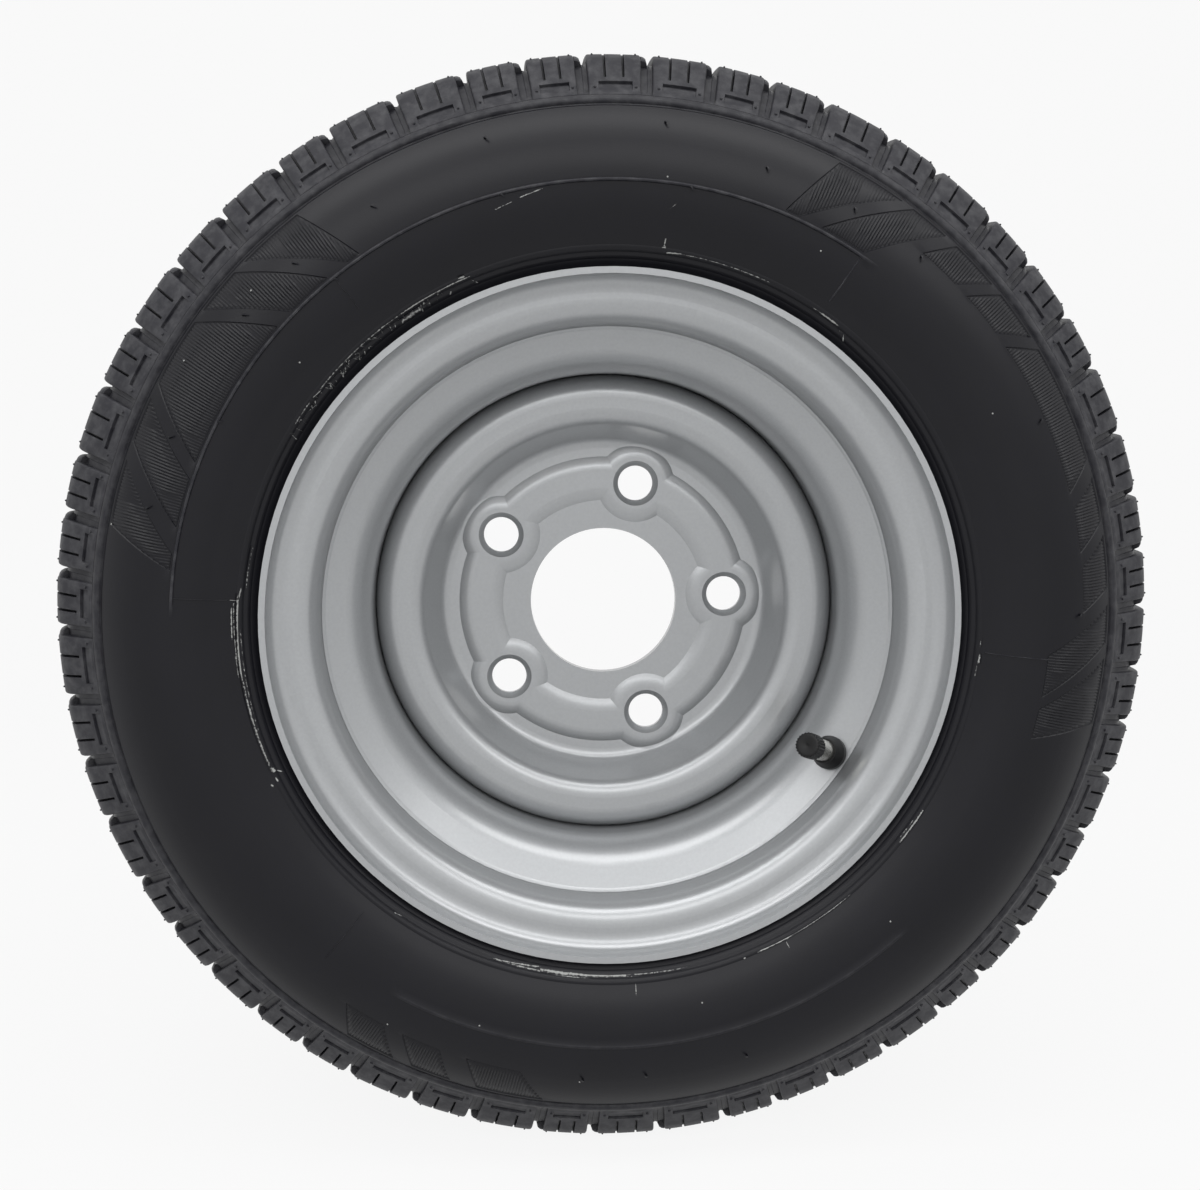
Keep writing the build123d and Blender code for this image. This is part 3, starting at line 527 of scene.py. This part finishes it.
def treadRibs(skin, side, shift):
    starts = grooveAngles() + shift
    inner, outer = tyre["ribGroove"] / 2, tyre["ribGrooveOffset"] - tyre["ribGroove"] / 2
    toDegrees = 180 / math.pi / tyre["crown"]
    slot, wall = ribs["slotHalf"] * toDegrees, block["wall"] * toDegrees
    angles, cut = [], []
    for start, end in zip(starts[:-1], starts[1:]):
        for offset, deep in ((-slot - wall, 0), (-slot, 1), (slot, 1), (slot + wall, 0)):
            angles.append(start + offset)
            cut.append(deep)
        angles += [start + (end - start) * share for share in ribs["between"]]
        cut += [0, 0]
    plain, slotted = ribs["slotEnd"]
    halves = (inner, inner, ribs["middle"], plain, slotted, outer - ribs["edge"], outer, outer)
    deep = np.outer([ribs["slotDepth"] if half >= slotted else 0 for half in halves], cut)
    deep[0] = deep[-1] = tyre["ribGrooveDepth"]
    # painted shade: the slots and the groove walls are painted darker with their depth
    worn = np.clip(1.0 - deep * ribs["wornLossPerMm"], 0, 1)
    points = ringPoints([crownAt(half) for half in halves], angles, -deep, side)
    skin.add(points, gridFaces(len(halves), len(angles), True, side), worn)
    floor = np.arange(0, 360, tyre["plainStep"])
    for first, last in ((0.0, inner), (outer, outer + tyre["ribGroove"])):
        points = ringPoints([crownAt(first), crownAt(last)], floor, -tyre["ribGrooveDepth"], side)
        skin.add(points, gridFaces(2, len(floor), True, side))


def window(angles, first, last, soft):  # 1 between two angles, with soft ends
    middle, reach = (first + last) / 2, (last - first) / 2
    away = np.abs((np.asarray(angles) - middle + 180) % 360 - 180)
    return np.clip((reach + soft - away) / soft, 0, 1)


# Sidewall, from the raised ring down to the rim line: radius and height, in mm. The ring's lower edge is
# ragged on the rows named, and a rib's span is two angles and a share of its height.
sidewall = {
    "columns": 360, "seed": 7, "raggedMm": 0.12, "raggedRows": ((5, 1.0), (6, 1.5)),
    "ring": (
        (211.15, -0.3), (210.9, 0.0), (210.3, 0.5), (209.6, 0.78), (208.8, 0.8), (208.1, 0.6),
        (207.75, 0.1), (207.55, -0.6), (207.0, -0.7), (206.6, -0.3), (206.0, 0.0)),
    # painted highlight: the raised ring takes this share of the lighter tread colour
    "ringPaintedHighlight": 0.75, "ringFoot": 207.4,
    "rib": ((177.3, 0.0), (177.05, 0.7), (176.6, 1.0), (176.1, 0.8), (175.75, 0.0)),
    "ribHeight": 1.0, "ribSpans": ((274, 393, 1.0), (138, 210, 0.35)), "ribSoft": 1.5,
    "plain": (173.0, 170.0, 167.0, 164.0, 161.0, 158.0, 155.5),
    "rimLine": (
        (152.6, 0.0), (152.15, 0.5), (151.5, 0.6), (150.6, 0.5), (150.15, 0.1), (149.75, 0.1),
        (149.3, 0.4), (148.7, 0.35), (147.5, 0.0)),
}


def sidewallRings(skin, side):
    angles = np.arange(0, 360, 360 / sidewall["columns"])
    ragged = np.random.default_rng(sidewall["seed"]).normal(0, sidewall["raggedMm"], len(angles))
    rows = sidewall["ring"]
    lift = np.array([[height] * len(angles) for _, height in rows])
    for row, share in sidewall["raggedRows"]:
        lift[row] += ragged * share
    # painted highlight: the ring above its foot is painted lighter than the sidewall
    worn = [sidewall["ringPaintedHighlight"] if radius > sidewall["ringFoot"] else 0.0 for radius, _ in rows]
    points = ringPoints([sideAt(radius) for radius, _ in rows], angles, lift, side)
    skin.add(points, gridFaces(len(rows), len(angles), True, side), np.repeat(worn, len(angles)))
    rib = sum(window(angles, first, last, sidewall["ribSoft"]) * share
              for first, last, share in sidewall["ribSpans"])
    rows = [(radius, share * sidewall["ribHeight"] * rib) for radius, share in sidewall["rib"]]
    rows += [(radius, 0 * rib) for radius in sidewall["plain"]]
    rows += [(radius, height + 0 * rib) for radius, height in sidewall["rimLine"]]
    lift = np.array([height for _, height in rows])
    worn = np.zeros(lift.shape)
    # painted highlight: the top of the raised rib is painted lighter, along with its height
    worn[1:len(sidewall["rib"]) - 1] = np.clip(rib, 0, 1)
    points = ringPoints([sideAt(radius) for radius, _ in rows], angles, lift, side)
    skin.add(points, gridFaces(len(rows), len(angles), True, side), worn)


# From the rim line under the flange, round the bead and up inside the tyre: half width and radius, in mm
beadLine = (
    (88.0, 147.5), (85.7, 144.55), (82.5, 143.9), (78.6, 141.2), (76.6, 137.9), (76.05, 134.0),
    (75.6, 130.4), (73.6, 127.4), (70.0, 126.2), (59.2, 125.3), (59.2, 130.3), (64.2, 150.6),
    (78.0, 158.0), (88.0, 166.0), (91.5, 178.0), (89.0, 192.0), (80.0, 205.0), (68.0, 212.0),
    (34.0, 217.5), (0.0, 219.0),
)


def beadAndLiner(skin, side):
    angles = np.arange(0, 360, tyre["plainStep"])
    points = ringPoints([point + (0, 0) for point in beadLine], angles, 0.0, side)
    skin.add(points, gridFaces(len(beadLine), len(angles), True, side))


def onSide(angle, radius, lift, side):  # points by angle, radius and height above the sidewall
    angle, radius, lift = np.broadcast_arrays(*(np.asarray(x, float) for x in (angle, radius, lift)))
    section = np.array([sideAt(r) for r in radius.ravel()]).reshape(radius.shape + (4,))
    half = section[..., 0] + section[..., 2] * lift
    reach = section[..., 1] + section[..., 3] * lift
    turn = np.radians(angle)
    return np.stack([reach * np.sin(turn), side * half, reach * np.cos(turn)], -1) * mm


ribSteps = np.array([[-0.5], [0.0], [0.5]])  # one foot, the top and the other foot, in widths
ribRoot = 0.04  # mm that the feet reach into the sidewall


def ridge(skin, side, line, width, height, base=0.0, worn=0.0, chalky=0.0):  # a rib along angles and radii
    line = np.asarray(line, float)
    step = np.gradient(np.stack([np.radians(line[:, 0]) * line[:, 1], line[:, 1]], -1), axis=0)
    step /= np.linalg.norm(step, axis=1)[:, None]
    offset = ribSteps * width
    radius = line[:, 1] + step[:, 0] * offset
    angle = line[:, 0] - np.degrees(step[:, 1] * offset / line[:, 1])
    foot = base - ribRoot + 0 * line[:, 1]
    lift = np.stack([foot, foot + ribRoot + height, foot])
    middle = (ribSteps == 0) * chalky + 0 * radius
    skin.add(onSide(angle, radius, lift, side), gridFaces(3, len(line), False, side), worn, middle)


# Hatched fields sunk in the sidewall, each between two slanting edges with plain bands between them.
# An edge is its angle at the top and at the foot; the last number is the radius of the foot.
hatch = {
    "top": 205.3, "sunk": 0.4, "edgeDegrees": 0.06, "columnDegrees": 2, "noFoot": 300.0,
    "pitchDegrees": 0.3665, "height": 0.42, "endGap": 0.3, "sideGapDegrees": 0.2, "taper": 0.4,
    "samples": 80, "fewest": 4, "samplesToPoint": 12,
    "rows": (
        206.0, 205.45, 205.15, 203.0, 200.5, 198.0, 195.5, 192.65, 192.35, 191.15, 190.85, 188.5, 186.0,
        183.5, 181.0, 178.15, 177.85, 177.3),
    "fields": (
        ((25.8, 21.9), (34.0, 23.9), 178.0), ((35.6, 27.0), (40.3, 33.2), 178.0),
        ((42.0, 39.2), (47.9, 44.6), 192.5), ((49.4, 46.5), (55.4, 52.2), 192.5),
        ((57.0, 54.2), (70.9, 73.8), 192.5), ((73.0, 75.8), (78.2, 81.2), 192.5),
        ((79.8, 83.0), (86.0, 88.6), 192.5), ((88.0, 94.0), (92.5, 99.6), 178.0),
        ((94.3, 101.2), (102.0, 105.3), 178.0), ((188.5, 192.0), (196.5, 199.0), 191.0),
        ((199.8, 202.6), (204.6, 207.6), 191.0), ((207.0, 210.2), (213.0, 215.6), 191.0),
        ((282.0, 278.0), (289.4, 280.2), 178.0), ((291.6, 283.6), (296.8, 290.0), 178.0),
        ((298.6, 292.2), (306.4, 312.3), 178.0), ((308.0, 314.8), (313.4, 321.0), 178.0),
        ((315.0, 324.2), (322.7, 326.0), 178.0),
    ),
}


def hatchEdge(edge, foot):  # angle at the top, and degrees to a mm of radius
    return edge[0], (edge[1] - edge[0]) / (hatch["top"] - foot)


def hatchBetween(left, right, foot):  # columns between two edges, with none on the edges
    shares = np.linspace(0, 1, 2 + int((right[0] - left[0]) / hatch["columnDegrees"]))[1:-1]
    return [(left[0] + (right[0] - left[0]) * share, left[1] + (right[1] - left[1]) * share, foot)
            for share in shares]


def hatchZone(skin, side):  # the band of the sidewall that the fields are sunk in
    columns, gap, plain = [], hatch["edgeDegrees"], hatch["noFoot"]
    fields = [(hatchEdge(left, foot), hatchEdge(right, foot), foot) for left, right, foot in hatch["fields"]]
    for k, (left, right, foot) in enumerate(fields):
        nextTop, nextSlant = fields[(k + 1) % len(fields)][0]
        nextTop += 360 if k + 1 == len(fields) else 0
        columns += [(left[0] - gap, left[1], plain), (left[0] + gap, left[1], foot)]
        columns += hatchBetween(left, right, foot)
        columns += [(right[0] - gap, right[1], foot), (right[0] + gap, right[1], plain)]
        columns += hatchBetween(right, (nextTop, nextSlant), plain)
    top, slant, foot = np.array(columns).T
    radius = np.array(hatch["rows"])[:, None]
    angle = top + slant * (hatch["top"] - radius)
    sunk = (radius > foot) & (radius < hatch["top"])
    points = onSide(angle, radius, -hatch["sunk"] * sunk, side)
    skin.add(points, gridFaces(len(radius), len(top), True, side))


def hatchLines(skin, side):
    pitch, base, gap = hatch["pitchDegrees"], -hatch["sunk"], hatch["sideGapDegrees"]
    for left, right, foot in hatch["fields"]:
        radii = np.linspace(hatch["top"] - hatch["endGap"], foot + hatch["endGap"], hatch["samples"])
        (leftTop, leftSlant), (rightTop, rightSlant) = hatchEdge(left, foot), hatchEdge(right, foot)
        drop = hatch["top"] - radii
        first, last = leftTop + leftSlant * drop + gap, rightTop + rightSlant * drop - gap
        for angle in np.arange(math.ceil(min(left) / pitch) * pitch, max(right), pitch):
            reach = radii[(angle > first) & (angle < last)]
            if len(reach) < hatch["fewest"]:
                continue
            count = max(2, len(reach) // hatch["samplesToPoint"])
            line = np.linspace(reach[0] - hatch["taper"], reach[-1] + hatch["taper"], count)
            line = np.concatenate([[reach[0]], line, [reach[-1]]])
            height = np.full(len(line), hatch["height"])
            height[0] = height[-1] = 0.0
            lift = base + np.stack([0 * height, height, 0 * height])
            points = onSide(angle + ribSteps * pitch, line, lift, side)
            skin.add(points, gridFaces(3, len(line), False, -side))


# What else the mould and the handling left on the outboard sidewall, by angle and radius
marks = {
    "mouldLines": (  # angle, first radius and last radius
        (33.2, 176.5, 156.0), (94.5, 178.0, 154.0), (221.4, 180.0, 157.0), (274.5, 177.0, 156.0),
        (321.7, 176.0, 162.0)),
    # the mould lines take the lighter tread colour in full
    "mouldLineWide": 0.8, "mouldLineHigh": 0.45, "mouldLinePoints": 12, "mouldLineTone": 1.0,
    "hairs": (
        (18.0, 191.0), (29.5, 191.0), (39.3, 191.0), (64.0, 191.0), (88.7, 191.0), (5.6, 200.0),
        (285.0, 191.0), (293.8, 191.0), (310.6, 191.0), (319.0, 191.0), (330.3, 191.0), (9.4, 176.6),
        (298.0, 176.6), (321.5, 176.6), (345.2, 176.6), (345.2, 199.0), (163.0, 190.5), (176.0, 190.5),
        (184.0, 192.0)),
    "hair": ((-0.1, 0.55, 0), (0.7, 0.5, 0.1), (1.1, 0.4, 0.9), (1.2, 0.3, 1.9), (1.1, 0.02, 2.4)),
    "hairLean": -50.0,
    "specks": (
        (28.3, 170.0), (60.3, 174.0), (302.3, 200.0), (313.3, 195.0), (282.0, 205.0), (184.4, 193.0),
        (198.8, 175.0), (209.8, 190.0), (310.6, 163.0), (167.0, 163.0), (6.4, 178.6), (137.2, 169.5)),
    "speck": ((-0.05, 0.4, 0), (0.15, 0.3, 0), (0.2, 0.02, 0)), "speckChalk": 0.9,
    "spread": 1.35, "film": 0.06, "endStrength": 0.6, "endGain": 4,
    "residue": (  # first angle and radius, last angle and radius, width in mm, strength
        (7.0, 152.6, 7.6, 152.6, 1.0, 1.0), (7.3, 153.2, 7.35, 156.0, 0.7, 0.9),
        (7.8, 151.3, 10.0, 151.6, 0.6, 1.0), (10.0, 151.6, 24.2, 151.6, 0.45, 0.55),
        (31.5, 151.3, 33.0, 151.3, 0.4, 0.4), (33.0, 151.2, 36.6, 151.2, 0.6, 0.9),
        (37.0, 149.9, 38.4, 149.9, 0.5, 0.4), (38.0, 150.2, 38.8, 147.8, 0.6, 0.8),
        (92.5, 152.3, 93.7, 152.2, 0.5, 0.5), (94.8, 152.3, 96.3, 152.2, 0.9, 1.0),
        (96.3, 152.0, 98.8, 151.8, 0.4, 0.4), (121.3, 152.1, 127.6, 152.0, 0.6, 0.9),
        (123.0, 151.2, 127.0, 151.0, 0.4, 0.4), (139.0, 152.3, 150.0, 152.3, 0.5, 0.6),
        (150.0, 152.3, 156.5, 152.2, 0.6, 0.8), (158.5, 152.3, 158.9, 152.3, 0.8, 0.9),
        (151.65, 153.2, 151.7, 155.8, 1.2, 1.0), (176.55, 152.7, 176.65, 156.4, 1.4, 1.0),
        (168.0, 149.6, 178.0, 149.4, 0.7, 0.5), (176.0, 149.5, 192.0, 149.4, 1.2, 0.8),
        (184.0, 150.5, 190.0, 150.4, 0.5, 0.5), (188.0, 149.9, 200.0, 149.5, 0.8, 0.7),
        (192.0, 148.6, 199.0, 149.6, 0.6, 0.7), (216.0, 150.3, 217.4, 150.8, 0.5, 0.6),
        (245.0, 153.7, 245.6, 154.1, 0.8, 0.8), (245.4, 151.7, 246.2, 151.8, 0.6, 0.9),
        (247.0, 151.3, 247.7, 151.5, 1.4, 1.0), (246.3, 148.6, 247.3, 150.8, 0.6, 0.8),
        (247.5, 151.9, 262.0, 152.2, 0.9, 0.6), (254.0, 151.2, 270.0, 151.3, 0.5, 0.4),
        (262.0, 152.3, 275.5, 152.2, 0.9, 0.85), (262.5, 153.3, 266.0, 153.4, 0.5, 0.6),
        (265.0, 153.1, 274.0, 153.5, 0.5, 0.6), (268.5, 154.2, 273.5, 154.2, 0.6, 0.8),
        (274.4, 153.0, 274.5, 155.0, 0.9, 1.0), (274.5, 152.1, 276.4, 151.4, 0.6, 0.8),
        (276.0, 149.6, 283.0, 149.4, 0.7, 0.4), (302.8, 151.6, 306.7, 151.6, 0.5, 0.6),
        (307.7, 151.7, 309.2, 151.0, 0.8, 1.0), (309.0, 151.5, 326.0, 151.5, 0.5, 0.5),
        (326.0, 151.5, 338.0, 151.6, 0.5, 0.8), (336.0, 152.3, 337.0, 152.1, 0.9, 0.8),
        (337.6, 150.4, 338.6, 148.0, 0.5, 0.6), (302.4, 150.2, 302.45, 147.6, 0.8, 0.9),
        (304.4, 150.3, 304.5, 148.4, 0.6, 0.6), (305.4, 150.0, 307.2, 149.0, 0.7, 0.6),
        (307.0, 150.4, 307.1, 148.4, 0.6, 0.7), (310.0, 150.2, 310.5, 148.0, 0.8, 0.8),
        (310.9, 150.2, 310.5, 148.0, 0.6, 0.7), (313.0, 150.2, 313.3, 148.0, 0.7, 0.7),
        (314.7, 150.2, 314.75, 148.2, 0.8, 0.9), (316.2, 149.6, 316.6, 148.4, 0.8, 0.7),
        (321.0, 150.3, 321.3, 148.4, 0.7, 0.5), (323.5, 150.2, 323.6, 148.2, 0.7, 0.7),
        (325.0, 148.9, 329.0, 149.2, 1.4, 0.6), (344.0, 171.2, 346.5, 172.4, 0.5, 0.6),
        (347.3, 173.2, 350.6, 175.0, 0.5, 0.7), (7.2, 166.5, 8.0, 169.0, 0.4, 0.4),
    ),
    "fleckSeed": 3, "fleckCount": 75,
    "flecks": {  # short strokes across the rim line: the range of each value, in the order of the draws
        "angle": (301.0, 334.0), "radius": (148.3, 151.2), "length": (0.6, 2.8), "lean": (-60.0, 60.0),
        "width": (0.6, 1.1), "strength": (0.35, 0.8)},
}


def fleckStrokes():  # rows like those of the residue
    draw = np.random.default_rng(marks["fleckSeed"])
    strokes = []
    for _ in range(marks["fleckCount"]):
        angle, radius, length, lean, width, strength = (
            draw.uniform(*limits) for limits in marks["flecks"].values())
        across = math.degrees(length / 2 * math.sin(math.radians(lean)) / radius)
        rise = length / 2 * math.cos(math.radians(lean))
        strokes.append((angle - across, radius - rise, angle + across, radius + rise, width, strength))
    return tuple(strokes)


def sidewallMarks(skin, side):
    for angle, first, last in marks["mouldLines"]:
        line = [(angle, radius) for radius in np.linspace(first, last, marks["mouldLinePoints"])]
        ridge(skin, side, line, marks["mouldLineWide"], marks["mouldLineHigh"], worn=marks["mouldLineTone"])
    for angle, radius in marks["hairs"]:
        stud(skin, sideAt(radius), angle, side, marks["hair"], lean=marks["hairLean"])
    for angle, radius in marks["specks"]:
        stud(skin, sideAt(radius), angle, side, marks["speck"], chalky=marks["speckChalk"])
    heights = np.array(sidewall["rimLine"])[::-1]
    for firstAngle, firstRadius, lastAngle, lastRadius, width, strength in marks["residue"] + fleckStrokes():
        share = np.linspace(0, 1, 3 + int(abs(lastAngle - firstAngle)))
        radius = firstRadius + (lastRadius - firstRadius) * share
        line = np.stack([firstAngle + (lastAngle - firstAngle) * share, radius], -1)
        fromEnd = np.minimum(share, 1 - share)
        chalky = strength * np.minimum(1, marks["endStrength"] + marks["endGain"] * fromEnd)
        base = np.interp(radius, heights[:, 0], heights[:, 1]) + marks["film"]
        ridge(skin, side, line, width * marks["spread"], marks["film"], base, chalky=chalky)


def moulding(name, skin):
    points, faces = np.concatenate(skin.points), np.concatenate(skin.faces)
    piece = meshPiece(name, points.tolist(), faces.tolist(), rubber, tyre["sharpEdges"])
    for attribute, values in (("worn", skin.worn), ("chalky", skin.chalky)):
        layer = piece.data.attributes.new(attribute, "FLOAT", "POINT")
        layer.data.foreach_set("value", np.concatenate(values).astype(np.float32))
    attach(piece, "wheel")
    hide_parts("tyre")
    print(name, "made,", sum(len(face.vertices) - 2 for face in piece.data.polygons), "triangles")


tread, sides = Skin(), Skin()
halfPitch = 180 / len(tyre["pitches"])
for side, shift in ((-1, 0.0), (1, halfPitch)):
    shoulderBlocks(tread, side, shift)
    treadRibs(tread, side, shift)
    sidewallRings(sides, side)
    hatchZone(sides, side)
    hatchLines(sides, side)
    beadAndLiner(sides, side)
sidewallMarks(sides, -1)
moulding("tyre_tread", tread)
moulding("tyre_sidewalls", sides)


# Valve cap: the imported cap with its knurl, measured in mm along the axis that it unscrews on. The edges give
# mm in from the outside, mm from the foot or the top, and how much of the knurl shows.
cap = {
    "teeth": 24, "tooth": 0.35, "boreShare": 0.72, "wall": 1.2, "centre": 0.01, "sharpEdges": 35,
    "lowerEdge": ((0.35, 0.0, 0), (0.0, 0.3, 0.6), (0.0, 0.6, 1)),
    "upperEdge": ((0.0, 1.0, 1), (0.12, 0.55, 1), (0.45, 0.15, 0.9), (0.9, 0.0, 0.5), (1.5, 0.0, 0)),
    "pip": 0.55, "pipDepth": 0.35, "pipTaper": 0.2, "pipEdge": ((0.25, 0.0), (0.0, 0.1)),
}
toothColumns = 4  # two on the tooth and two in the gap


def knurledCap(name):
    joint = next(joint for joint in frame["joints"] if joint["name"] == "cap_turn")
    axis = Vector(joint["axis"]).normalized()
    origin = Vector(joint["pos_m"])
    fromOrigin = [vertex.co - origin for vertex in nodes["valve_cap"].data.vertices]
    along = [point.dot(axis) / mm for point in fromOrigin]
    foot, top = min(along), max(along)
    radius = max(point.cross(axis).length for point in fromOrigin) / mm
    bore, ceiling = radius * cap["boreShare"], top - cap["wall"]
    pip, pipFloor = cap["pip"], top - cap["pipDepth"]
    profile = [(cap["centre"], ceiling, 0), (bore, ceiling, 0), (bore, foot, 0)]
    profile += [(radius - inset, foot + rise, knurl) for inset, rise, knurl in cap["lowerEdge"]]
    profile += [(radius - inset, top - drop, knurl) for inset, drop, knurl in cap["upperEdge"]]
    profile += [(pip + outset, top - drop, 0) for outset, drop in cap["pipEdge"]]
    profile += [(pip - cap["pipTaper"], pipFloor, 0), (cap["centre"], pipFloor, 0)]
    first = axis.orthogonal().normalized()
    other = axis.cross(first)
    columns = cap["teeth"] * toothColumns
    points = []
    for size, height, knurl in profile:
        for k in range(columns):
            turn = 2 * math.pi * k / columns
            spoke = first * math.cos(turn) + other * math.sin(turn)
            inGap = k % toothColumns >= toothColumns / 2
            out = size - (cap["tooth"] * knurl if inGap else 0)
            points.append(tuple(origin + (axis * height + spoke * out) * mm))
    faces = gridFaces(len(profile), columns, True, 1).tolist()
    piece = meshPiece(name, points, faces, valveFinish["moulded_black_polypropylene"], cap["sharpEdges"])
    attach(piece, "cap")
    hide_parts("valve_cap")
    print(name, "made,", len(faces), "faces")


knurledCap("valve_cap_knurled")


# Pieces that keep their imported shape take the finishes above
finishes = {
    "rim": rimPaint, "wheel_disc": discPaint, "disc_welds": paint, "tyre": rubber,
    "valve_body": valveFinish["moulded_valve_rubber"], "valve_stem": valveFinish["nickel_plated_brass"],
    "core_plug": valveFinish["turned_brass"], "core_barrel": valveFinish["turned_brass"],
    "core_pin": valveFinish["turned_brass"], "barrel_gasket": valveFinish["moulded_ptfe"],
    "core_cup": valveFinish["moulded_valve_rubber"], "core_spring": valveFinish["drawn_spring_wire"],
    "valve_cap": valveFinish["moulded_black_polypropylene"],
    "cap_seal": valveFinish["moulded_valve_rubber"],
}
for name, material in finishes.items():
    nodes[name].data.materials.clear()
    nodes[name].data.materials.append(material)
print("finishes set")


# Studio, in metres: a pale floor that sweeps up behind, two wide softboxes above and a weak panel in front
studio = {
    "floor": "#cccccc", "whiteness": 0.9, "reach": 2.4, "bendStart": 0.9, "bendRadius": 0.6,
    "bendFrom": 0.15, "bendSteps": 10, "world": 0.5, "backdrop": 0.96,
    "lamps": [  # name, place, what it points at, width and depth, watts
        ("overheadSoftbox", (0.0, -0.61, 1.59), (0.0, 0.0, 0.0), (3.2, 0.6), 19.0),
        ("slopingSoftbox", (0.0, -1.476, 0.995), (0.0, 0.0, 0.0), (3.2, 0.56), 12.6),
        ("frontPanel", (-0.2, -2.3, 0.3), (0.0, 0.0, 0.0), (2.0, 1.4), 2.0),
    ],
}


def seenRays(tree):  # 1 for what the camera sees, straight, mirrored or through something clear
    path = addNode(tree, "ShaderNodeLightPath")
    seen = path.outputs["Is Camera Ray"]
    for kind in ("Is Glossy Ray", "Is Transmission Ray"):
        either = addNode(tree, "ShaderNodeMath", {0: seen, 1: path.outputs[kind]}, operation="MAXIMUM")
        seen = either.outputs["Value"]
    return seen


def studioWhite():
    material, tree = newMaterial("pale_studio_floor")
    share = addNode(tree, "ShaderNodeMath", {
        0: seenRays(tree), 1: studio["whiteness"]}, operation="MULTIPLY")
    paper = addNode(tree, "ShaderNodeBsdfDiffuse", {"Color": linear(studio["floor"])})
    glow = addNode(tree, "ShaderNodeEmission", {"Color": (1, 1, 1, 1), "Strength": 1.0})
    shader = addNode(tree, "ShaderNodeMixShader", {
        0: share.outputs["Value"], 1: paper.outputs["BSDF"], 2: glow.outputs["Emission"]})
    closeMaterial(tree, shader)
    return material


low, reach = cadBox[0][2], studio["reach"]
start, radius = studio["bendStart"], studio["bendRadius"]
turns = np.linspace(studio["bendFrom"], math.pi / 2, studio["bendSteps"])
bend = [(start + radius * math.sin(turn), low + radius * (1 - math.cos(turn))) for turn in turns]
profile = [(-reach, low), (start, low)] + bend + [(start + radius, low + reach)]
floorPoints = [(x, y, z) for y, z in profile for x in (-reach, reach)]
floorFaces = [(2 * i, 2 * i + 1, 2 * i + 3, 2 * i + 2) for i in range(len(profile) - 1)]
floor = meshPiece("studio_floor", floorPoints, floorFaces, studioWhite())

world = bpy.data.worlds.new("studio")
world.use_nodes = True
tree = world.node_tree
tree.nodes.clear()
ambient = addNode(tree, "ShaderNodeBackground", {"Color": (1, 1, 1, 1), "Strength": studio["world"]})
white = addNode(tree, "ShaderNodeBackground", {"Color": (1, 1, 1, 1), "Strength": studio["backdrop"]})
mixed = addNode(tree, "ShaderNodeMixShader", {
    0: seenRays(tree), 1: ambient.outputs[0], 2: white.outputs[0]})
addNode(tree, "ShaderNodeOutputWorld", {"Surface": mixed.outputs[0]})
bpy.context.scene.world = world

for name, place, aim, size, power in studio["lamps"]:
    lamp = bpy.data.lights.new(name, "AREA")
    lamp.shape = "RECTANGLE"
    lamp.size, lamp.size_y = size
    lamp.energy = power
    holder = bpy.data.objects.new(name, lamp)
    holder.location = place
    holder.rotation_euler = (Vector(aim) - Vector(place)).to_track_quat("-Z", "Y").to_euler()
    bpy.context.scene.collection.objects.link(holder)
print("studio set")


# The photograph's view, in metres and degrees; pixels are of its 1200 wide frame
camera = {
    "place": (-0.0378, -0.6927, 0.0899), "down": 7.29, "right": 3.04, "focalPixels": 1491.0,
    "widePixels": 1200.0, "sensorMm": 36.0, "nearest": 0.01,
}
lens = bpy.data.cameras.new("photo_view")
lens.sensor_fit = "HORIZONTAL"
lens.sensor_width = camera["sensorMm"]
lens.lens = camera["focalPixels"] / camera["widePixels"] * camera["sensorMm"]
lens.clip_start = camera["nearest"]
view = bpy.data.objects.new("photo_view", lens)
view.location = camera["place"]
view.rotation_euler = (math.radians(90 - camera["down"]), 0.0, math.radians(-camera["right"]))
bpy.context.scene.collection.objects.link(view)
bpy.context.scene.camera = view
bpy.context.scene.view_settings.view_transform = "Standard"
